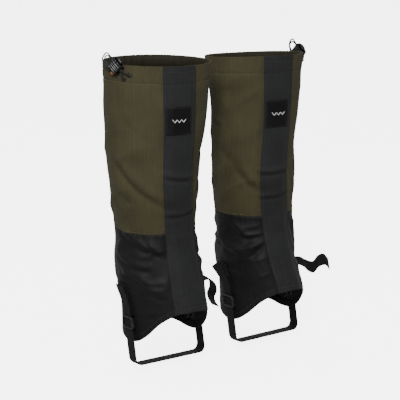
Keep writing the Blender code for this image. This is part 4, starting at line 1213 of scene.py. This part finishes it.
def make_strap(leg):
    """One length of webbing: loose end, down through the outer slider, under the boot, up
    through the inner slider, loose end. Its corners on the ground are quarter circles."""
    outer, inner = side_spot(leg, leg.side), side_spot(leg, -leg.side)

    def end_path(spot, way, key):
        run = smooth_path(np.array(TAILS[(leg.name, key)]), 2.0)
        place_at = spot + np.stack([run[:, 0] * way, run[:, 1], run[:, 2]], -1)
        slope = np.radians(run[:, 3])
        return place_at, np.stack([np.zeros(len(run)), np.cos(slope), np.sin(slope)], -1)

    corner, ground = 11.0, WEBBING / 2
    turn = np.radians(np.linspace(0, 90, 12))[1:-1]
    path_out, wide_out = end_path(outer, leg.side, "outer")
    path_in, wide_in = end_path(inner, -leg.side, "inner")

    def leg_down(spot, way):
        """From the slider down and round the corner, to level along the ground."""
        down = [[spot[0], spot[1], z] for z in np.linspace(BUCKLE_HEIGHT + 22.0, ground + corner, 24)]
        bend = [[spot[0] - way * corner * (1 - math.cos(a)), spot[1], ground + corner * (1 - math.sin(a))]
                for a in turn]
        return np.array(down + bend + [[spot[0] - way * corner, spot[1], ground]])

    left, right = leg_down(outer, leg.side), leg_down(inner, -leg.side)
    across = np.linspace(0, 1, 40)[1:-1, None]
    middle = left[-1] * (1 - across) + right[-1] * across
    core = lean(np.concatenate([left, middle, right[::-1]]))
    level = np.tile([0.0, 1.0, 0.0], (len(core), 1))
    path = np.concatenate([path_out[::-1], core, path_in])
    wide = np.concatenate([wide_out[::-1], level, wide_in])
    strap = band(f"{leg.name}_boot_strap", path, wide, WEBBING_WIDTH, WEBBING)
    fix_faces(strap)
    dress(strap, "webbing", f"{leg.name}_strap", f"{leg.name}_underfoot_strap")


def make_lace_hook(leg):
    """Bent wire hook on a short doubled tape inside the front of the hem."""
    height = float(hem(0.0)) + 3.0
    top = leg.point(0.0, height, -7.0)
    out = leg.point(0.0, height, 0.0) - leg.point(0.0, height, -1.0)
    across, up = np.cross([0, 0, 1.0], out), np.array([0, 0, 1.0])
    profile = [(0, 0), (0, -8), (-1.5, -12.5), (-5, -14.5), (-8.6, -12.5), (-9.5, -8.5)]
    near = [top + across * 5.0 + out * d + up * h for d, h in profile]
    far = [top - across * 5.0 + out * d + up * h for d, h in profile]
    corners = np.array(near + far[::-1] + [near[0]])
    wire = even_path(corners, 0.8)[:-1]
    for _ in range(2):
        wire = (np.roll(wire, 1, axis=0) + wire * 2 + np.roll(wire, -1, axis=0)) / 4
    hook = rod(f"{leg.name}_wire_hook", wire, 1.1, 12, closed=True)
    dress(hook, "hook", f"{leg.name}_lace_hook_body", f"{leg.name}_lace_hook")
    rise, width = np.meshgrid(np.linspace(height - 2.0, height + 24.0, 16), np.linspace(-3.6, 3.6, 6),
                              indexing="ij")
    tab = layer(f"{leg.name}_hook_tape_loop", leg.point(width, rise, -4.4), (width, rise), 1.0)
    dress(tab, "tape", f"{leg.name}_gaiter", f"{leg.name}_lace_hook_tab")


# ---- stage ----

FLOOR_REACH = 14.0        # metres from the middle to the floor's sides
LEVEL_REACH = 8.0         # metres from the middle to where the floor starts to rise
FLOOR_DROP = 0.0125       # metres below the straps, so that they have room to drop
AIM_HEIGHT = 0.25         # metres up, where the lamps point
# Name, place in metres, power in watts, side in metres.
LAMPS = (("key", (-2.2, -2.2, 2.6), 130.0, 1.0), ("fill", (2.4, -2.0, 1.4), 5.0, 2.2),
         ("top", (0.2, 0.6, 3.0), 18.0, 2.4))


def make_stage():
    """Pale floor, level in the middle and curving up all round, soft lights and the camera. Its
    height is 0.14 times the square of how far past the level part a point lies. The floor
    shines by itself and is kept out of the object's own light."""
    side = np.linspace(-FLOOR_REACH, FLOOR_REACH, 80)
    x, y = np.meshgrid(side, side, indexing="ij")
    up = 0.14 * np.maximum(0.0, np.hypot(x, y) - LEVEL_REACH) ** 2 - FLOOR_DROP
    floor = put_mesh("pale_floor", np.stack([x, y, up], -1).reshape(-1, 3) / MM, grid_quads(80, 80))
    material, tree, shader = new_finish("matt_white_paper", Roughness=0.9)
    place = add(tree, "ShaderNodeTexCoord").outputs["Object"]
    fibre = add(tree, "ShaderNodeTexNoise", {"Vector": place, "Scale": 3.0, "Detail": 6.0}).outputs[0]
    colour = add(tree, "ShaderNodeMix", {0: fibre, 6: linear("#F1F1F0"), 7: linear("#FAFAF9")},
                 data_type="RGBA")
    join(tree, shader, Base_Color=colour.outputs[2])
    shader.inputs["Emission Color"].default_value = linear("#FFFFFF")
    shader.inputs["Emission Strength"].default_value = 5.0
    floor.data.materials.append(material)
    floor.visible_diffuse = False
    floor.visible_glossy = False
    world = bpy.context.scene.world or bpy.data.worlds.new("studio")
    bpy.context.scene.world = world
    world.use_nodes = True
    world.node_tree.nodes["Background"].inputs[0].default_value = (1.0, 1.0, 1.0, 1.0)
    world.node_tree.nodes["Background"].inputs[1].default_value = 0.36
    for name, spot, power, size in LAMPS:
        lamp = bpy.data.lights.new(f"{name}_light", "AREA")
        lamp.energy, lamp.size = power, size
        obj = bpy.data.objects.new(f"{name}_light", lamp)
        obj.location = spot
        away = np.array(spot) - np.array([0, 0, AIM_HEIGHT])
        tilt = math.acos(away[2] / np.linalg.norm(away))
        obj.rotation_euler = (tilt, 0, math.atan2(away[1], away[0]) + math.pi / 2)
        bpy.context.scene.collection.objects.link(obj)
    camera = bpy.data.cameras.new("camera")
    camera.lens, camera.sensor_width, camera.shift_x = 160.0, 36.0, -0.003
    camera.clip_end = 50.0
    obj = bpy.data.objects.new("camera", camera)
    obj.location = (-1.7239, -2.2064, 0.877)
    obj.rotation_euler = (math.radians(90 - 12.8), 0, math.radians(-38))
    bpy.context.scene.collection.objects.link(obj)
    bpy.context.scene.camera = obj


# ---- add-on ----

def tint(name, code, what):
    """A colour property with its default given as sRGB hex."""
    return bpy.props.FloatVectorProperty(name=name, description=what, subtype="COLOR", size=4, min=0, max=1,
                                         default=linear(code))


class GaiterCloth(bpy.types.PropertyGroup):
    """How the cloth folds and what colour it is."""
    grid: bpy.props.FloatProperty(name="Grid",
                                  description="Distance between the cloth's points, in millimetres",
                                  default=2.1, min=1.2, max=12.0)
    folding: bpy.props.FloatProperty(name="Folding",
                                     description="How deep the folds are, as a share of the usual",
                                     default=1.7, min=0.0, max=2.5, subtype="FACTOR")
    crumple: bpy.props.FloatProperty(name="Crumple", description="Height of the fine crumple, in millimetres",
                                     default=0.22, min=0.0, max=1.0)
    olive_dark: tint("Olive, dark", "#393626", "Shaded yarn of the olive cloth")
    olive_light: tint("Olive, light", "#565239", "Lit yarn of the olive cloth")
    black_dark: tint("Black, dark", "#08080A", "Shaded yarn of the black cloth")
    black_light: tint("Black, light", "#1A1A1B", "Lit yarn of the black cloth")
    strip_dark: tint("Strip, dark", "#1D1D1E", "Shaded yarn of the front strip")
    strip_light: tint("Strip, light", "#323334", "Lit yarn of the front strip")


class GAITER_OT_cloth_panels(bpy.types.Operator):
    """Make the four cloth panels of each gaiter"""
    bl_idname = "gaiter.cloth_panels"
    bl_label = "Cloth Panels"

    def execute(self, context):
        for leg in LEGS:
            make_panels(leg, context.scene.gaiter_cloth.grid)
        return {"FINISHED"}


class GAITER_OT_linings(bpy.types.Operator):
    """Make the rim tunnel, ankle elastic, hem tape and seam tape"""
    bl_idname = "gaiter.linings"
    bl_label = "Linings and Tapes"

    def execute(self, context):
        for leg in LEGS:
            make_linings(leg, context.scene.gaiter_cloth.grid * 1.2)
        return {"FINISHED"}


class GAITER_OT_front_strips(bpy.types.Operator):
    """Make the underlap, its tapes, the front flap and its label"""
    bl_idname = "gaiter.front_strips"
    bl_label = "Front Strips"

    def execute(self, context):
        for leg in LEGS:
            make_front(leg, context.scene.gaiter_cloth.grid * 0.85)
        return {"FINISHED"}


class GAITER_OT_stitching(bpy.types.Operator):
    """Sew the rows of stitches on the panels, the front strip and the label"""
    bl_idname = "gaiter.stitching"
    bl_label = "Stitching"

    def execute(self, context):
        for leg in LEGS:
            make_stitching(leg)
        return {"FINISHED"}


class GAITER_OT_cord_locks(bpy.types.Operator):
    """Make the spring locks"""
    bl_idname = "gaiter.cord_locks"
    bl_label = "Cord Locks"

    def execute(self, context):
        for leg in LEGS:
            make_lock(leg)
        return {"FINISHED"}


class GAITER_OT_drawcords(bpy.types.Operator):
    """Thread the drawcords, with their eyelets and end tags"""
    bl_idname = "gaiter.drawcords"
    bl_label = "Drawcords"

    def execute(self, context):
        for leg in LEGS:
            make_drawcord(leg)
        return {"FINISHED"}


class GAITER_OT_sliders(bpy.types.Operator):
    """Make the strap sliders"""
    bl_idname = "gaiter.sliders"
    bl_label = "Sliders"

    def execute(self, context):
        for leg in LEGS:
            for way, label in ((leg.side, "outer"), (-leg.side, "inner")):
                make_slider(leg, way, label)
        return {"FINISHED"}


class GAITER_OT_webbing(bpy.types.Operator):
    """Make the webbing tabs and the straps under the boots"""
    bl_idname = "gaiter.webbing"
    bl_label = "Webbing"

    def execute(self, context):
        for leg in LEGS:
            for way, label in ((leg.side, "outer"), (-leg.side, "inner")):
                make_tab(leg, way, label)
            make_strap(leg)
        return {"FINISHED"}


class GAITER_OT_lace_hooks(bpy.types.Operator):
    """Make the lace hooks and their tapes"""
    bl_idname = "gaiter.lace_hooks"
    bl_label = "Lace Hooks"

    def execute(self, context):
        for leg in LEGS:
            make_lace_hook(leg)
        return {"FINISHED"}


class GAITER_OT_stage(bpy.types.Operator):
    """Set the floor, the lights and the camera"""
    bl_idname = "gaiter.stage"
    bl_label = "Stage"

    def execute(self, context):
        make_stage()
        return {"FINISHED"}


STEPS = (GAITER_OT_stage, GAITER_OT_drawcords, GAITER_OT_cloth_panels, GAITER_OT_linings,
         GAITER_OT_front_strips, GAITER_OT_stitching, GAITER_OT_cord_locks, GAITER_OT_sliders,
         GAITER_OT_webbing, GAITER_OT_lace_hooks)


class GAITER_PT_panel(bpy.types.Panel):
    """Lists the cloth's settings and the steps that build the pair"""
    bl_idname = "GAITER_PT_panel"
    bl_label = "Hiking Gaiters"
    bl_space_type = "VIEW_3D"
    bl_region_type = "UI"
    bl_category = "Gaiters"

    def draw(self, context):
        column = self.layout.column()
        for key in GaiterCloth.__annotations__:
            column.prop(context.scene.gaiter_cloth, key)
        for step in STEPS:
            column.operator(step.bl_idname)


def register():
    for kind in (GaiterCloth, *STEPS, GAITER_PT_panel):
        bpy.utils.register_class(kind)
    bpy.types.Scene.gaiter_cloth = bpy.props.PointerProperty(type=GaiterCloth)


def unregister():
    del bpy.types.Scene.gaiter_cloth
    for kind in (GAITER_PT_panel, *reversed(STEPS), GaiterCloth):
        bpy.utils.unregister_class(kind)


def main():
    register()
    for step in STEPS:
        getattr(bpy.ops.gaiter, step.bl_idname.split(".")[1])()


if __name__ == "__main__":
    main()
